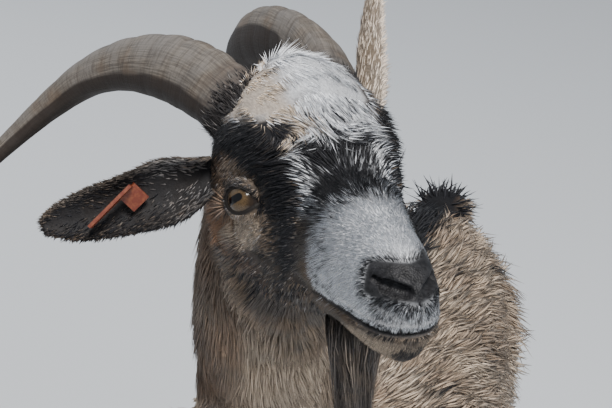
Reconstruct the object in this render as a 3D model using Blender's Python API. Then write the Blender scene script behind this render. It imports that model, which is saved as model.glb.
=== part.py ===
"""A small horned goat standing with its neck raised and its head turned to its left, life size.

Metres, +Z up. The goat faces -Y, its left side is +X, and it stands on Z = 0. Outlines are those of
the coat's tips. Each piece is a closed solid, and pieces that touch keep a small gap."""

import bmesh
import bpy
import numpy as np
from mathutils import Matrix, Vector

# Driving sizes
GAP = 0.0003                  # clearance between solids that touch
RING_SIDES = 26               # corners round the trunk, neck and head
LEG_SIDES = 12                # corners round the legs, the tail and the beard
HORN_SIDES = 12
HORN_RINGS = 22

# The head's own frame: its origin lies midway between the eyes
HEAD_AT = Vector((0.050, -0.150, 0.735))
HEAD_TURN = np.radians(40.9)  # to the goat's left
HEAD_LIFT = np.radians(20.2)  # of the palate above level

EYE_RADIUS = 0.0140
EYE_AT = (-0.006, 0.0420, -0.003)    # fore, left, up in the head's frame
EAR_LENGTH = 0.106
EAR_WIDTH = 0.042
EAR_WALL = 0.0042

TAG_PLACE = (0.465, 0.22)     # along and across the right ear
TAG_DISC = 0.0065             # radius of the disc behind the ear
TAG_PLATE = (0.0125, 0.0125, 0.0022)
TAG_PIN = 0.0026              # radius
TAG_BLADE = (0.034, 0.011, 0.0020)
TAG_RUN = (-0.21, -0.75, -0.63)     # the blade's length and depth, as fore, left and up of the head
TAG_DEEP = (0.92, -0.36, 0.13)

HOOF_TOP = 0.036              # height of the coronet
HOOF_LENGTH = 0.050
CLAW_WIDTH = 0.0215
CLAW_SLIT = 0.0026            # between the two claws of a foot

COLOURS = {
    "tan_coat": (0.42, 0.31, 0.22),
    "face_coat": (0.55, 0.52, 0.48),
    "dark_coat": (0.06, 0.055, 0.055),
    "horn": (0.34, 0.29, 0.24),
    "hoof": (0.10, 0.085, 0.075),
    "eye": (0.42, 0.28, 0.09),
    "tag": (0.80, 0.22, 0.06),
}


def clear_scene():
    for thing in list(bpy.data.objects):
        bpy.data.objects.remove(thing, do_unlink=True)


def material(name, roughness=0.8, metallic=0.0):
    found = bpy.data.materials.get(name)
    if found:
        return found
    made = bpy.data.materials.new(name)
    made.use_nodes = True
    shader = made.node_tree.nodes["Principled BSDF"]
    shader.inputs["Base Color"].default_value = (*COLOURS[name], 1)
    shader.inputs["Roughness"].default_value = roughness
    shader.inputs["Metallic"].default_value = metallic
    return made


def head_axes():
    """The head's fore, left and up directions in the world."""
    fore = Vector((
        np.sin(HEAD_TURN) * np.cos(HEAD_LIFT), -np.cos(HEAD_TURN) * np.cos(HEAD_LIFT), np.sin(HEAD_LIFT)
    ))
    left = Vector((np.cos(HEAD_TURN), np.sin(HEAD_TURN), 0))
    return fore, left, fore.cross(left)


def in_head(fore, left, up):
    """A point of the head's frame, in the world."""
    axes = head_axes()
    return HEAD_AT + axes[0] * fore + axes[1] * left + axes[2] * up


def along_head(fore, left, up):
    """A direction of the head's frame, in the world, of length 1."""
    axes = head_axes()
    return (axes[0] * fore + axes[1] * left + axes[2] * up).normalized()


def smooth_through(knots, values, at):
    """Cubic Hermite curve through the values, with slopes from each knot's neighbours."""
    knots, values = np.asarray(knots, float), np.asarray(values, float)
    if values.ndim == 1:
        return smooth_through(knots, values[:, None], at)[:, 0]
    slopes = np.gradient(values, knots, axis=0)
    at = np.asarray(at, float)
    i = np.clip(np.searchsorted(knots, at, side="right") - 1, 0, len(knots) - 2)
    span = (knots[i + 1] - knots[i])[:, None]
    t = (at[:, None] - knots[i][:, None]) / span
    return (
        (2 * t**3 - 3 * t**2 + 1) * values[i] + (t**3 - 2 * t**2 + t) * span * slopes[i]
        + (3 * t**2 - 2 * t**3) * values[i + 1] + (t**3 - t**2) * span * slopes[i + 1]
    )


def closed_through(corners, count):
    """A closed Catmull-Rom curve through the corners, as that many points."""
    corners = np.asarray(corners, float)
    place = np.arange(count) * len(corners) / count
    i = place.astype(int)
    t = (place - i)[:, None]
    before, here, after, later = (corners[(i + k) % len(corners)] for k in (-1, 0, 1, 2))
    return 0.5 * (
        2 * here + (after - before) * t + (2 * before - 5 * here + 4 * after - later) * t**2
        + (3 * here - before - 3 * after + later) * t**3
    )


def new_object(name, mesh_data, finish=None, smooth_angle=50):
    mesh = bpy.data.meshes.new(name)
    mesh_data.to_mesh(mesh)
    mesh_data.free()
    made = bpy.data.objects.new(name, mesh)
    bpy.context.scene.collection.objects.link(made)
    if finish:
        mesh.materials.append(material(finish))
    mesh.shade_smooth()
    mesh.set_sharp_from_angle(angle=np.radians(smooth_angle))
    return made


def loft(rings):
    """A closed tube through rings of equal point count, with a face on each end.

    Its sides are triangles, so that a larger copy used as a cutter bends along the same diagonals."""
    made = bmesh.new()
    rows = [[made.verts.new(p) for p in ring] for ring in rings]
    count = len(rows[0])
    for near, far in zip(rows, rows[1:]):
        for k in range(count):
            n = (k + 1) % count
            made.faces.new((near[k], near[n], far[n]))
            made.faces.new((near[k], far[n], far[k]))
    made.faces.new(rows[0][::-1])
    made.faces.new(rows[-1])
    bmesh.ops.recalc_face_normals(made, faces=made.faces)
    return made


def mirrored(shape, flip=True):
    """The same shape on the other side of the plane X = 0."""
    if flip:
        bmesh.ops.scale(shape, vec=(-1, 1, 1), verts=shape.verts)
        bmesh.ops.reverse_faces(shape, faces=shape.faces)
    return shape


def cut_with(target, cutter, operation="DIFFERENCE"):
    step = target.modifiers.new(cutter.name, "BOOLEAN")
    step.operation = operation
    step.solver = "EXACT"
    step.object = cutter


def cutter_object(name, mesh_data):
    made = new_object(name, mesh_data)
    made.hide_render = True
    made.display_type = "WIRE"
    return made


# Trunk, neck and head: one row of rings from the buttocks to the muzzle.
# A ring has a centre, its left and up directions, and a half outline of four levels.

def ring_of(centre, left, up, outline, grow):
    """outline: top, (upper side), (widest), (lower side), bottom, as left and up distances."""
    half = np.asarray(outline, float)
    corners = np.concatenate([half, half[-2:0:-1] * (-1, 1)])
    points = closed_through(corners, RING_SIDES)
    if grow:
        points = points + points / np.linalg.norm(points, axis=1, keepdims=True) * grow
    return [centre + left * float(x) + up * float(z) for x, z in points]


def oval(width, rise, drop, fullness=0.76):
    """Half outline of an egg: its widest level is at 0."""
    return [
        (0, rise), (width * fullness, rise * 0.70), (width, 0.0), (width * fullness, -drop * 0.72), (0, -drop)
    ]


# y, top, bottom, half width, height of the widest level
TRUNK_KNOTS = np.array([
    (0.445, 0.414, 0.368, 0.016, 0.392),
    (0.434, 0.448, 0.324, 0.055, 0.390),
    (0.405, 0.474, 0.296, 0.084, 0.390),
    (0.360, 0.488, 0.284, 0.100, 0.388),
    (0.305, 0.495, 0.262, 0.114, 0.376),
    (0.240, 0.496, 0.238, 0.132, 0.352),
    (0.170, 0.495, 0.228, 0.142, 0.342),
    (0.100, 0.500, 0.233, 0.138, 0.348),
    (0.045, 0.508, 0.247, 0.124, 0.366),
])
# y and z of the topline, y and z of the underline, half width: the rings fan out from withers to throat
FAN_KNOTS = np.array([
    (0.018, 0.513, -0.010, 0.252, 0.116),
    (0.008, 0.517, -0.066, 0.262, 0.110),
    (0.001, 0.525, -0.118, 0.298, 0.100),
    (-0.004, 0.540, -0.145, 0.358, 0.088),
    (-0.011, 0.562, -0.150, 0.428, 0.076),
    (-0.020, 0.594, -0.147, 0.498, 0.065),
    (-0.029, 0.630, -0.147, 0.560, 0.060),
])
NECK_BASE = 4                 # which fan ring parts the neck from the trunk

# Head outline by distance fore of the eyes, in millimetres: tilt of the ring in degrees, then
# top, upper side, widest, lower side and bottom
HEAD_KNOTS = np.array([
    # fore tilt  top   upper side  widest     lower side  bottom
    (-52, 32,    54,   43, 35,     60, -6,    47, -44,   -66),
    (-40, 24,    73,   43, 48,     59, -2,    46, -50,   -72),
    (-26, 14,    85,   43, 62,     57, 4,     46, -55,   -77),
    (-12, 6,     80,   42, 58,     54, 6,     45, -58,   -78),
    (4, 0,       58,   40, 43,     49.5, 4,   41, -58,   -78),
    (20, 0,      32,   34, 25,     44.5, -12, 36, -58,   -78),
    (38, 0,      14,   27, 5,      38, -26,   31, -60,   -79),
    (56, 0,      2,    23, -8,     34, -35,   27, -65,   -84),
    (74, 0,      -9,   18, -17,    29, -42,   23.5, -71, -90),
    (90, 0,      -17,  15.5, -24,  24.5, -46, 20.5, -74, -91.5),
    (102, 0,     -24,  13, -31,    20, -50,   16.5, -72, -86),
    (110, 0,     -32,  10.5, -38,  15, -52,   12, -67,   -77.5),
    (115.5, 0,   -41,  7, -45,     9, -54,    7, -62,    -67),
], float)
# Side view of the lower jaw, fore and up in the head's frame: along the mouth, then back to the throat
JAW_SIDE = np.array([
    (140, -70), (108, -70), (94, -66), (76, -58.8), (57, -53), (44, -56), (20, -64), (4, -90), (4, -110), (140, -110)
]) / 1000


def trunk_rings(grow=0.0, part=None):
    """Rings of the trunk, and of the neck up to where it leaves the median plane."""
    left = Vector((1, 0, 0))
    rings = []
    last_knot = len(TRUNK_KNOTS) - 1
    at = np.linspace(0, last_knot, last_knot * 3 // 2 + 1)
    for y, top, bottom, width, level in smooth_through(range(last_knot + 1), TRUNK_KNOTS, at):
        outline = oval(width, top - level, level - bottom)
        rings.append((Vector((0, y, level)), left, Vector((0, 0, 1)), outline))
    for top_y, top_z, low_y, low_z, width in FAN_KNOTS:
        high, low = Vector((0, top_y, top_z)), Vector((0, low_y, low_z))
        centre = high.lerp(low, 0.52)
        up = (high - low).normalized()
        rings.append((centre, left, up, oval(width, (high - centre).length, (centre - low).length, 0.74)))
    last = len(rings) - len(FAN_KNOTS) + NECK_BASE
    chosen = rings[: last + 1] if part == "trunk" else rings[last:]
    return [ring_of(*ring, grow) for ring in chosen], chosen


def head_ring_frames():
    """Centre, left, up and outline of each head ring, from the nape to the muzzle."""
    fore, left, up = head_axes()
    last_knot = len(HEAD_KNOTS) - 1
    at = np.linspace(0, last_knot, last_knot * 3 // 2 + 1)
    frames = []
    for row in smooth_through(range(last_knot + 1), HEAD_KNOTS, at):
        tilt = np.radians(row[1])
        mm = row[[0, 2, 3, 4, 5, 6, 7, 8, 9]] / 1000
        middle = (mm[1] + mm[8]) / 2
        outline = [
            (0, mm[1] - middle), (mm[2], mm[3] - middle), (mm[4], mm[5] - middle),
            (mm[6], mm[7] - middle), (0, mm[8] - middle),
        ]
        ring_up = up * float(np.cos(tilt)) - fore * float(np.sin(tilt))
        frames.append((in_head(mm[0], 0, middle), left, ring_up, outline))
    return frames


def neck_rings():
    """The neck turns from the trunk's last ring to the head's first one."""
    rings, frames = trunk_rings(part="neck")
    start, end = frames[-1], head_ring_frames()[0]
    reach = (end[0] - start[0]).length
    leave = start[1].cross(start[2]).normalized() * -reach
    arrive = end[1].cross(end[2]).normalized() * -reach
    leave, arrive = -leave, -arrive
    first = Matrix((start[1], start[2], start[1].cross(start[2]))).transposed().to_quaternion()
    last = Matrix((end[1], end[2], end[1].cross(end[2]))).transposed().to_quaternion()
    steps = 5
    for k in range(1, steps + 1):
        t = k / steps
        ease = t * t * (3 - 2 * t)
        centre = (
            start[0] * (2 * t**3 - 3 * t**2 + 1) + leave * (t**3 - 2 * t**2 + t)
            + end[0] * (3 * t**2 - 2 * t**3) + arrive * (t**3 - t**2)
        )
        turned = first.slerp(last, ease).to_matrix()
        outline = (1 - ease) * np.array(start[3]) + ease * np.array(end[3])
        rings.append(ring_of(centre, turned.col[0], turned.col[1], outline, 0.0))
    return rings


def pulled_back(rings, first=0.0, last=0.0):
    """The end rings moved inwards, which leaves the gap to the next piece."""
    rings = [list(ring) for ring in rings]
    for index, step, amount in ((0, 1, first), (-1, -2, last)):
        if amount:
            middle = sum(rings[index], Vector()) / RING_SIDES
            inner = sum(rings[step], Vector()) / RING_SIDES
            move = (inner - middle).normalized() * amount
            rings[index] = [p + move for p in rings[index]]
    return rings


def make_trunk():
    rings, _ = trunk_rings(part="trunk")
    return new_object("trunk", loft(pulled_back(rings, last=GAP)), "tan_coat")


def make_neck():
    return new_object("neck", loft(pulled_back(neck_rings(), last=GAP)), "tan_coat")


def muzzle_cap(frames):
    """Two smaller rings that round off the front of the muzzle."""
    centre, left, up, outline = frames[-1]
    fore = head_axes()[0]
    return [
        ring_of(centre + fore * reach, left, up, np.array(outline) * size, 0.0)
        for reach, size in ((0.0022, 0.72), (0.0034, 0.38))
    ]


def head_loft(grow=0.0):
    frames = head_ring_frames()
    return loft([ring_of(*frame, grow) for frame in frames] + muzzle_cap(frames))


def jaw_block(widen=0.0):
    """The space of the lower jaw, drawn from the side and wider than the head."""
    middle = JAW_SIDE.mean(axis=0)
    side = JAW_SIDE + np.sign(JAW_SIDE - middle) * widen
    return loft([[in_head(f, reach, u) for f, u in side] for reach in (-0.12, 0.12)])


def make_head():
    head = new_object("head", head_loft(), "face_coat")
    cut_with(head, cutter_object("jaw_space", jaw_block(GAP)))
    jaw = new_object("lower_jaw", head_loft(), "face_coat")
    cut_with(jaw, cutter_object("jaw_limits", jaw_block()), "INTERSECT")
    return head


# Beard: rings that hang from the chin, as fore and left of the eyes, height, and half sizes
BEARD_KNOTS = np.array([
    (54, 0, -76, 17, 17),
    (54, 0, -90, 18, 18),
    (52, 2, -112, 14, 14.5),
    (49, 5, -138, 11, 11),
    (46, 7, -160, 7, 7),
    (44, 8, -173, 2, 2),
]) / 1000


def make_beard(skull):
    fore, left, up = head_axes()
    level_fore = Vector((fore.x, fore.y, 0)).normalized()
    rings = []
    for f, l, u, long, wide in smooth_through(range(len(BEARD_KNOTS)), BEARD_KNOTS, np.linspace(0, 5, 9)):
        turns = np.arange(LEG_SIDES) * 2 * np.pi / LEG_SIDES
        centre = HEAD_AT + level_fore * f + left * l + Vector((0, 0, u + f * float(np.sin(HEAD_LIFT))))
        rings.append([
            centre + level_fore * float(np.cos(a) * long) + left * float(np.sin(a) * wide) for a in turns
        ])
    beard = new_object("beard", loft(rings), "face_coat")
    cut_with(beard, skull)


def ball(centre, radius, along, segments=16):
    made = bmesh.new()
    bmesh.ops.create_uvsphere(made, u_segments=segments, v_segments=segments // 2 + 2, radius=radius)
    turn = along.to_track_quat("Z", "Y").to_matrix().to_4x4()
    bmesh.ops.transform(made, matrix=Matrix.Translation(centre) @ turn, verts=made.verts)
    return made


def make_eyes(head):
    for side, sign in (("left", 1), ("right", -1)):
        centre = in_head(EYE_AT[0], EYE_AT[1] * sign, EYE_AT[2])
        look = along_head(0.42, 0.9 * sign, 0.10)
        new_object(f"eye_{side}", ball(centre, EYE_RADIUS, look), "eye")
        socket = cutter_object(f"socket_{side}", ball(centre, EYE_RADIUS + GAP, look))
        cut_with(head, socket)


# Horns: out, back and up of the point between the eyes, half breadth, half thickness and the twist of
# the section, in millimetres and degrees. The left horn grows closer to the middle than the right one.
HORN_KNOTS = {
    "right": np.array([
        (28, 34, 34, 21, 17, -30),
        (37, 55, 51.5, 22, 16.5, -28),
        (46, 80, 64, 22.5, 15.5, -24),
        (56, 110, 72, 21, 15, -16),
        (70, 145, 75, 17, 13, -4),
        (88, 175, 69.5, 13, 12, 8),
        (108, 195, 56, 10.2, 9, 20),
        (130, 208, 39, 7.9, 6.8, 28),
        (152, 215, 21.5, 6, 5, 34),
        (172, 217, 3.5, 4, 3.7, 38),
        (189, 216, -14, 1.4, 1.4, 40),
    ], float),
    "left": np.array([
        (28, 34, 34, 21, 17, -24),
        (35, 55, 54, 22, 17, -20),
        (36, 82, 70, 22, 16, -14),
        (33, 114, 80, 21.5, 15.5, -8),
        (29, 148, 83, 20.5, 15, 0),
        (28, 181, 77, 19, 14, 6),
        (32, 209, 61, 16.5, 12.5, 12),
        (41, 231, 40, 13.5, 10.5, 18),
        (52, 247, 15, 10, 8, 24),
        (65, 257, -10, 6, 5, 30),
        (79, 262, -34, 1.4, 1.4, 34),
    ], float),
}
HORN_RIDGES = 15


def horn_shape(side, sign):
    knots = HORN_KNOTS[side]
    at = np.linspace(0, len(knots) - 1, HORN_RINGS)
    rows = smooth_through(range(len(knots)), knots, at)
    centres = [in_head(-r[1] / 1000, sign * r[0] / 1000, r[2] / 1000) for r in rows]
    rings = []
    for k, row in enumerate(rows):
        tangent = (centres[min(k + 1, len(rows) - 1)] - centres[max(k - 1, 0)]).normalized()
        out = along_head(0, sign, 0)
        out = (out - tangent * out.dot(tangent)).normalized()
        top = tangent.cross(out) * -sign
        twist = np.radians(row[5])
        keel_way = top * float(np.cos(twist)) + out * float(np.sin(twist))
        side_way = out * float(np.cos(twist)) - top * float(np.sin(twist))
        ridge = 1 + 0.022 * np.sin(np.pi * 2 * HORN_RIDGES * at[k] / at[-1])
        ring = []
        for corner in range(HORN_SIDES):
            angle = 2 * np.pi * corner / HORN_SIDES
            keel = np.cos(angle) * row[3] / 1000 * (1 + 0.16 * np.cos(angle) ** 3) * ridge
            flank = np.sin(angle) * row[4] / 1000 * ridge
            ring.append(centres[k] + keel_way * float(keel) + side_way * float(flank))
        rings.append(ring)
    return loft(rings)


def make_horns(skull):
    for side, sign in (("left", 1), ("right", -1)):
        horn = new_object(f"horn_{side}", horn_shape(side, sign), "horn")
        cut_with(horn, skull)


# Ears: a leaf whose cross section is an arc, rolled at the root and open at the tip
EAR_POSES = {
    # side: root, direction of the tip and direction that the opening faces, as fore, left and up of the head
    "right": ((-0.0412, -0.0517, 0.0114), (-0.147, -0.94, -0.184), (1.30, -0.542, -0.074)),
    "left": ((-0.057, 0.050, 0.023), (-0.27, 0.49, 0.95), (0.36, 1.55, -0.52)),
}
EAR_STATIONS = [0, 0.25, 0.5, 0.75, 0.92, 1.0]
EAR_BREADTH = {"right": [0.89, 1.08, 0.98, 0.74, 0.42, 0.12], "left": [0.70, 0.96, 0.96, 0.74, 0.42, 0.12]}
EAR_ROLL = {"right": [109, 64, 62, 52, 48, 46], "left": [150, 100, 66, 52, 48, 46]}
EAR_CURL = 0.010              # how far the tip bends back
EAR_SAG = {"right": 0.0083, "left": 0.018}    # how far the middle bows towards the lower edge


class Ear:
    """The leaf's axes, and points on it."""

    def __init__(self, side, sign):
        root, tip, opening = EAR_POSES[side]
        self.root = in_head(*root)
        self.along = along_head(*tip)
        face = along_head(*opening)
        self.face = (face - self.along * face.dot(self.along)).normalized()
        self.across = self.along.cross(self.face)
        self.breadths = EAR_BREADTH[side]
        self.rolls = EAR_ROLL[side]
        self.sag = EAR_SAG[side] * sign

    def point(self, s, v, depth):
        """s runs from root to tip, v from edge to edge, and depth out of the inner face."""
        breadth = float(smooth_through(EAR_STATIONS, self.breadths, [s])[0])
        angle = float(np.radians(smooth_through(EAR_STATIONS, self.rolls, [s])[0]))
        radius = breadth * EAR_WIDTH / 2 / angle
        reach = radius - depth
        spine = self.root + self.along * (s * EAR_LENGTH) - self.face * (EAR_CURL * s * s)
        spine += self.across * (self.sag * s * (1 - s))
        return (
            spine + self.across * (reach * float(np.sin(angle * v)))
            + self.face * (radius * 0.6 - reach * float(np.cos(angle * v)))
        )

    def shape(self):
        lengths = np.linspace(0, 1, 11)
        sides = np.linspace(-1, 1, 9)
        made = bmesh.new()
        sheets = []
        for face in (0.5, -0.5):
            sheet = []
            for s in lengths:
                wall = EAR_WALL * (1 - 0.35 * s)
                edges = 1 - 0.55 * np.clip(np.abs(sides) - 0.75, 0, 1) / 0.25
                sheet.append([
                    made.verts.new(self.point(s, v, face * wall * edge)) for v, edge in zip(sides, edges)
                ])
            sheets.append(sheet)
        front, back = sheets
        for sheet in sheets:
            for near, far in zip(sheet, sheet[1:]):
                for k in range(len(sides) - 1):
                    made.faces.new((near[k], near[k + 1], far[k + 1], far[k]))
        rims = [
            s[0] + [row[-1] for row in s[1:]] + s[-1][-2::-1] + [row[0] for row in s[-2:0:-1]]
            for s in (front, back)
        ]
        for k in range(len(rims[0])):
            n = (k + 1) % len(rims[0])
            made.faces.new((rims[0][k], rims[0][n], rims[1][n], rims[1][k]))
        bmesh.ops.recalc_face_normals(made, faces=made.faces)
        return made


def make_ears(skull):
    made = {}
    for side, sign in (("left", 1), ("right", -1)):
        ear = Ear(side, sign)
        made[side] = new_object(f"ear_{side}", ear.shape(), "dark_coat")
        cut_with(made[side], skull)
    make_tag(ear, made["right"])


def rod(start, way, length, radius, sides=12, bevel=0.0):
    made = bmesh.new()
    bmesh.ops.create_cone(made, cap_ends=True, segments=sides, radius1=radius, radius2=radius, depth=length)
    turn = way.to_track_quat("Z", "Y").to_matrix().to_4x4()
    bmesh.ops.transform(
        made, matrix=Matrix.Translation(start + way * (length / 2)) @ turn, verts=made.verts
    )
    if bevel:
        rims = [e for e in made.edges if len({f.normal.dot(way) > 0.5 for f in e.link_faces}) > 1]
        bmesh.ops.bevel(made, geom=rims, offset=bevel, segments=1, affect="EDGES")
    return made


def slab(centre, axes, size):
    made = bmesh.new()
    bmesh.ops.create_cube(made, size=1)
    bmesh.ops.scale(made, vec=size, verts=made.verts)
    turn = Matrix(axes).transposed().to_4x4()
    bmesh.ops.transform(made, matrix=Matrix.Translation(centre) @ turn, verts=made.verts)
    return made


def make_tag(ear, flap):
    """A square plate in the cup of the ear with a pin through it, a disc behind, and a blade along one edge."""
    s, v = TAG_PLACE
    front = ear.point(s, v, EAR_WALL / 2)
    way = (ear.point(s, v, EAR_WALL * 2) - front).normalized()
    clear = 0.0048
    stem = 0.0123
    run = along_head(*TAG_RUN).normalized()
    flat_run = (run - way * run.dot(way)).normalized()
    edge = flat_run.cross(way)
    plate = slab(front + way * (clear + TAG_PLATE[2] / 2), (flat_run, way.cross(flat_run), way), TAG_PLATE)
    plate = new_object("ear_tag", plate, "tag")
    pin = cutter_object("tag_pin", rod(front + way * (clear + 0.001), -way, stem, TAG_PIN))
    cut_with(plate, pin, "UNION")
    long, deep, thick = TAG_BLADE
    depth = along_head(*TAG_DEEP)
    depth = (depth - run * depth.dot(run)).normalized()
    centre = front + way * clear + edge * (TAG_PLATE[1] / 2 - thick / 2) + run * (long / 2 - 0.004) + depth * (deep / 2)
    blade = slab(centre, (run, depth, run.cross(depth)), (long, deep, thick))
    cut_with(plate, cutter_object("tag_blade", blade), "UNION")
    cut_with(flap, cutter_object("tag_hole", rod(front + way * 0.02, -way, 0.04, TAG_PIN + GAP)))
    behind = front + way * (clear + 0.001 - stem - GAP)
    new_object("ear_tag_back", rod(behind, -way, 0.0025, TAG_DISC, bevel=0.0006), "tag")


# Legs: height, then y, distance from the middle, and half sizes fore and aft and across
FRONT_LEG = np.array([
    (0.380, -0.030, 0.050, 0.045, 0.028),
    (0.330, -0.040, 0.072, 0.052, 0.038),
    (0.285, -0.046, 0.080, 0.049, 0.038),
    (0.245, -0.049, 0.079, 0.038, 0.031),
    (0.212, -0.054, 0.078, 0.031, 0.028),
    (0.188, -0.058, 0.077, 0.028, 0.027),
    (0.165, -0.061, 0.077, 0.0275, 0.027),
    (0.142, -0.060, 0.077, 0.0230, 0.022),
    (0.105, -0.060, 0.077, 0.0195, 0.019),
    (0.078, -0.062, 0.077, 0.0220, 0.021),
    (0.056, -0.069, 0.077, 0.0200, 0.0205),
    (0.0363, -0.077, 0.077, 0.0235, 0.0230),
])
HIND_LEG = np.array([
    (0.430, 0.350, 0.058, 0.064, 0.040),
    (0.380, 0.340, 0.071, 0.080, 0.048),
    (0.325, 0.326, 0.077, 0.078, 0.046),
    (0.280, 0.322, 0.079, 0.060, 0.039),
    (0.240, 0.338, 0.078, 0.041, 0.030),
    (0.208, 0.360, 0.078, 0.033, 0.027),
    (0.178, 0.374, 0.077, 0.0300, 0.0250),
    (0.148, 0.371, 0.077, 0.0245, 0.0220),
    (0.110, 0.363, 0.077, 0.0200, 0.0190),
    (0.080, 0.360, 0.077, 0.0225, 0.0215),
    (0.057, 0.352, 0.077, 0.0205, 0.0210),
    (0.0363, 0.344, 0.077, 0.0240, 0.0235),
])
JOINT_ROW = 6                 # the knee or hock, where leg and shank part


def leg_rings(rows):
    turns = np.arange(LEG_SIDES) * 2 * np.pi / LEG_SIDES
    return [
        [Vector((x + float(np.cos(a)) * wide, y + float(np.sin(a)) * long, z)) for a in turns]
        for z, y, x, long, wide in rows
    ]


def make_legs(trunk_space):
    for place, table in (("front", FRONT_LEG), ("hind", HIND_LEG)):
        count = len(table)
        upper = smooth_through(range(count), table, np.linspace(0, JOINT_ROW, 2 * JOINT_ROW + 1))
        steps = 2 * (count - 1 - JOINT_ROW)
        lower = smooth_through(range(count), table, np.linspace(JOINT_ROW, count - 1, steps + 1))
        lower[0, 0] -= GAP
        for side, flip in (("left", False), ("right", True)):
            leg = new_object(f"leg_{place}_{side}", mirrored(loft(leg_rings(upper)), flip), "tan_coat")
            cut_with(leg, trunk_space)
            new_object(f"shank_{place}_{side}", mirrored(loft(leg_rings(lower)), flip), "dark_coat")
            foot_y, foot_x = table[-1][1], table[-1][2]
            for name, way in (("inner", -1), ("outer", 1)):
                claw = claw_shape(foot_x, foot_y, way)
                new_object(f"hoof_{place}_{side}_{name}", mirrored(claw, flip), "hoof")


# Half outline of a claw, from the slit round the toe and heel, in claw widths and lengths
CLAW_OUTLINE = [
    (0.0, -0.50), (0.22, -0.56), (0.52, -0.50), (0.86, -0.26), (1.0, 0.04), (0.94, 0.32), (0.62, 0.46),
    (0.22, 0.44), (0.0, 0.34), (0.0, -0.10),
]


def claw_shape(x, y, way):
    """Rings from the flat sole up to the coronet, which leans back over the heel."""
    outline = closed_through(CLAW_OUTLINE, 14)
    outline[:, 0] = np.maximum(outline[:, 0], 0)
    rings = []
    for height, long, wide, back in (
        (0, 1.0, 1.0, -0.004), (0.004, 1.01, 1.03, -0.0035), (0.020, 0.92, 1.03, 0.000),
        (HOOF_TOP, 0.82, 0.98, 0.0035),
    ):
        rings.append([
            Vector((
                x + way * (CLAW_SLIT / 2 + float(px) * CLAW_WIDTH * wide),
                y + back + float(py) * HOOF_LENGTH * long, height,
            )) for px, py in outline
        ])
    return loft(rings)


# Tail: y and z of its middle, half breadth and half thickness; it stands out behind and droops
TAIL_KNOTS = np.array([
    (0.405, 0.424, 0.022, 0.016),
    (0.438, 0.437, 0.026, 0.018),
    (0.466, 0.436, 0.030, 0.020),
    (0.488, 0.416, 0.029, 0.018),
    (0.501, 0.390, 0.019, 0.012),
    (0.506, 0.368, 0.003, 0.003),
])


def make_tail(trunk_space):
    rows = smooth_through(range(len(TAIL_KNOTS)), TAIL_KNOTS, np.linspace(0, 5, 9))
    turns = np.arange(LEG_SIDES) * 2 * np.pi / LEG_SIDES
    rings = []
    for k, (y, z, wide, thick) in enumerate(rows):
        before, after = rows[max(k - 1, 0)], rows[min(k + 1, len(rows) - 1)]
        run = Vector((0, after[0] - before[0], after[1] - before[1])).normalized()
        across = Vector((0, run.z, -run.y))
        rings.append([
            Vector((float(np.cos(a)) * wide, y, z)) + across * (float(np.sin(a)) * thick) for a in turns
        ])
    tail = new_object("tail", loft(rings), "dark_coat")
    cut_with(tail, trunk_space)


def stand_over_origin():
    """Everything moves together until the origin lies under the middle of the goat's box."""
    depsgraph = bpy.context.evaluated_depsgraph_get()
    corners = []
    for thing in bpy.context.scene.objects:
        if thing.type == "MESH" and not thing.hide_render:
            shape = thing.evaluated_get(depsgraph).to_mesh()
            places = np.empty(len(shape.vertices) * 3, np.float32)
            shape.vertices.foreach_get("co", places)
            places = places.reshape(-1, 3)
            corners += [places.min(axis=0), places.max(axis=0)]
    middle = (np.min(corners, axis=0) + np.max(corners, axis=0)) / 2
    goat = bpy.data.objects.new("goat", None)
    bpy.context.scene.collection.objects.link(goat)
    for thing in bpy.context.scene.objects:
        if thing is not goat:
            thing.parent = goat
    goat.location = (-middle[0], -middle[1], 0)


def main():
    clear_scene()
    make_trunk()
    make_neck()
    head = make_head()
    skull = cutter_object("skull_space", head_loft(GAP))
    rings, _ = trunk_rings(GAP, "trunk")
    trunk_space = cutter_object("trunk_space", loft(pulled_back(rings, first=-GAP)))
    make_eyes(head)
    make_horns(skull)
    make_ears(skull)
    make_beard(skull)
    make_tail(trunk_space)
    make_legs(trunk_space)
    stand_over_origin()


main()
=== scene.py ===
# A small horned goat: one skin, a coat of solid tufts, horns, eyes, hooves and tag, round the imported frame
from itertools import product

import bmesh
import bpy
import numpy as np
from mathutils import Matrix, Vector


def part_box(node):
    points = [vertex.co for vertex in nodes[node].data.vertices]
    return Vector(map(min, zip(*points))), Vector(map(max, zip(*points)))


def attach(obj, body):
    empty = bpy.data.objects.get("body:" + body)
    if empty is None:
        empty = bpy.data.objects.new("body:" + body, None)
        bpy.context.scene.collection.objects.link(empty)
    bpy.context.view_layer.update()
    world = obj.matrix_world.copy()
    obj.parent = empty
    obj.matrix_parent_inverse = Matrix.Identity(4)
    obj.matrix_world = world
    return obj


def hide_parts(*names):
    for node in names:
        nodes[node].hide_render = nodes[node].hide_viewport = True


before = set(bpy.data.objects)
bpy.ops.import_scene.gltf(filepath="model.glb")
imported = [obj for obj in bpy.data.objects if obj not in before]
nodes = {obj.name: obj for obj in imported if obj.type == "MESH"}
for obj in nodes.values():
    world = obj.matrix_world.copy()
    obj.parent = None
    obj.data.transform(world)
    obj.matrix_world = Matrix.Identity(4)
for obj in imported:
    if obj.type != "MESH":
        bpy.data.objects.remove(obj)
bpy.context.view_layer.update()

mm = 0.001
fullTurn = 2 * np.pi
upright = np.array((0.0, 0.0, 1.0))
rng = np.random.default_rng(11)


def unit(v):
    # each vector over its own length
    return v / np.maximum(np.linalg.norm(v, axis=-1, keepdims=True), 1e-9)


def ramp(x, low, high):
    # 0 below low, 1 above high, and a smooth S between
    t = np.clip((x - low) / (high - low), 0, 1)
    return t * t * (3 - 2 * t)


def bump(x, middle, spread):
    # a bell curve of height 1
    return np.exp(-(((x - middle) / spread) ** 2))


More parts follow.
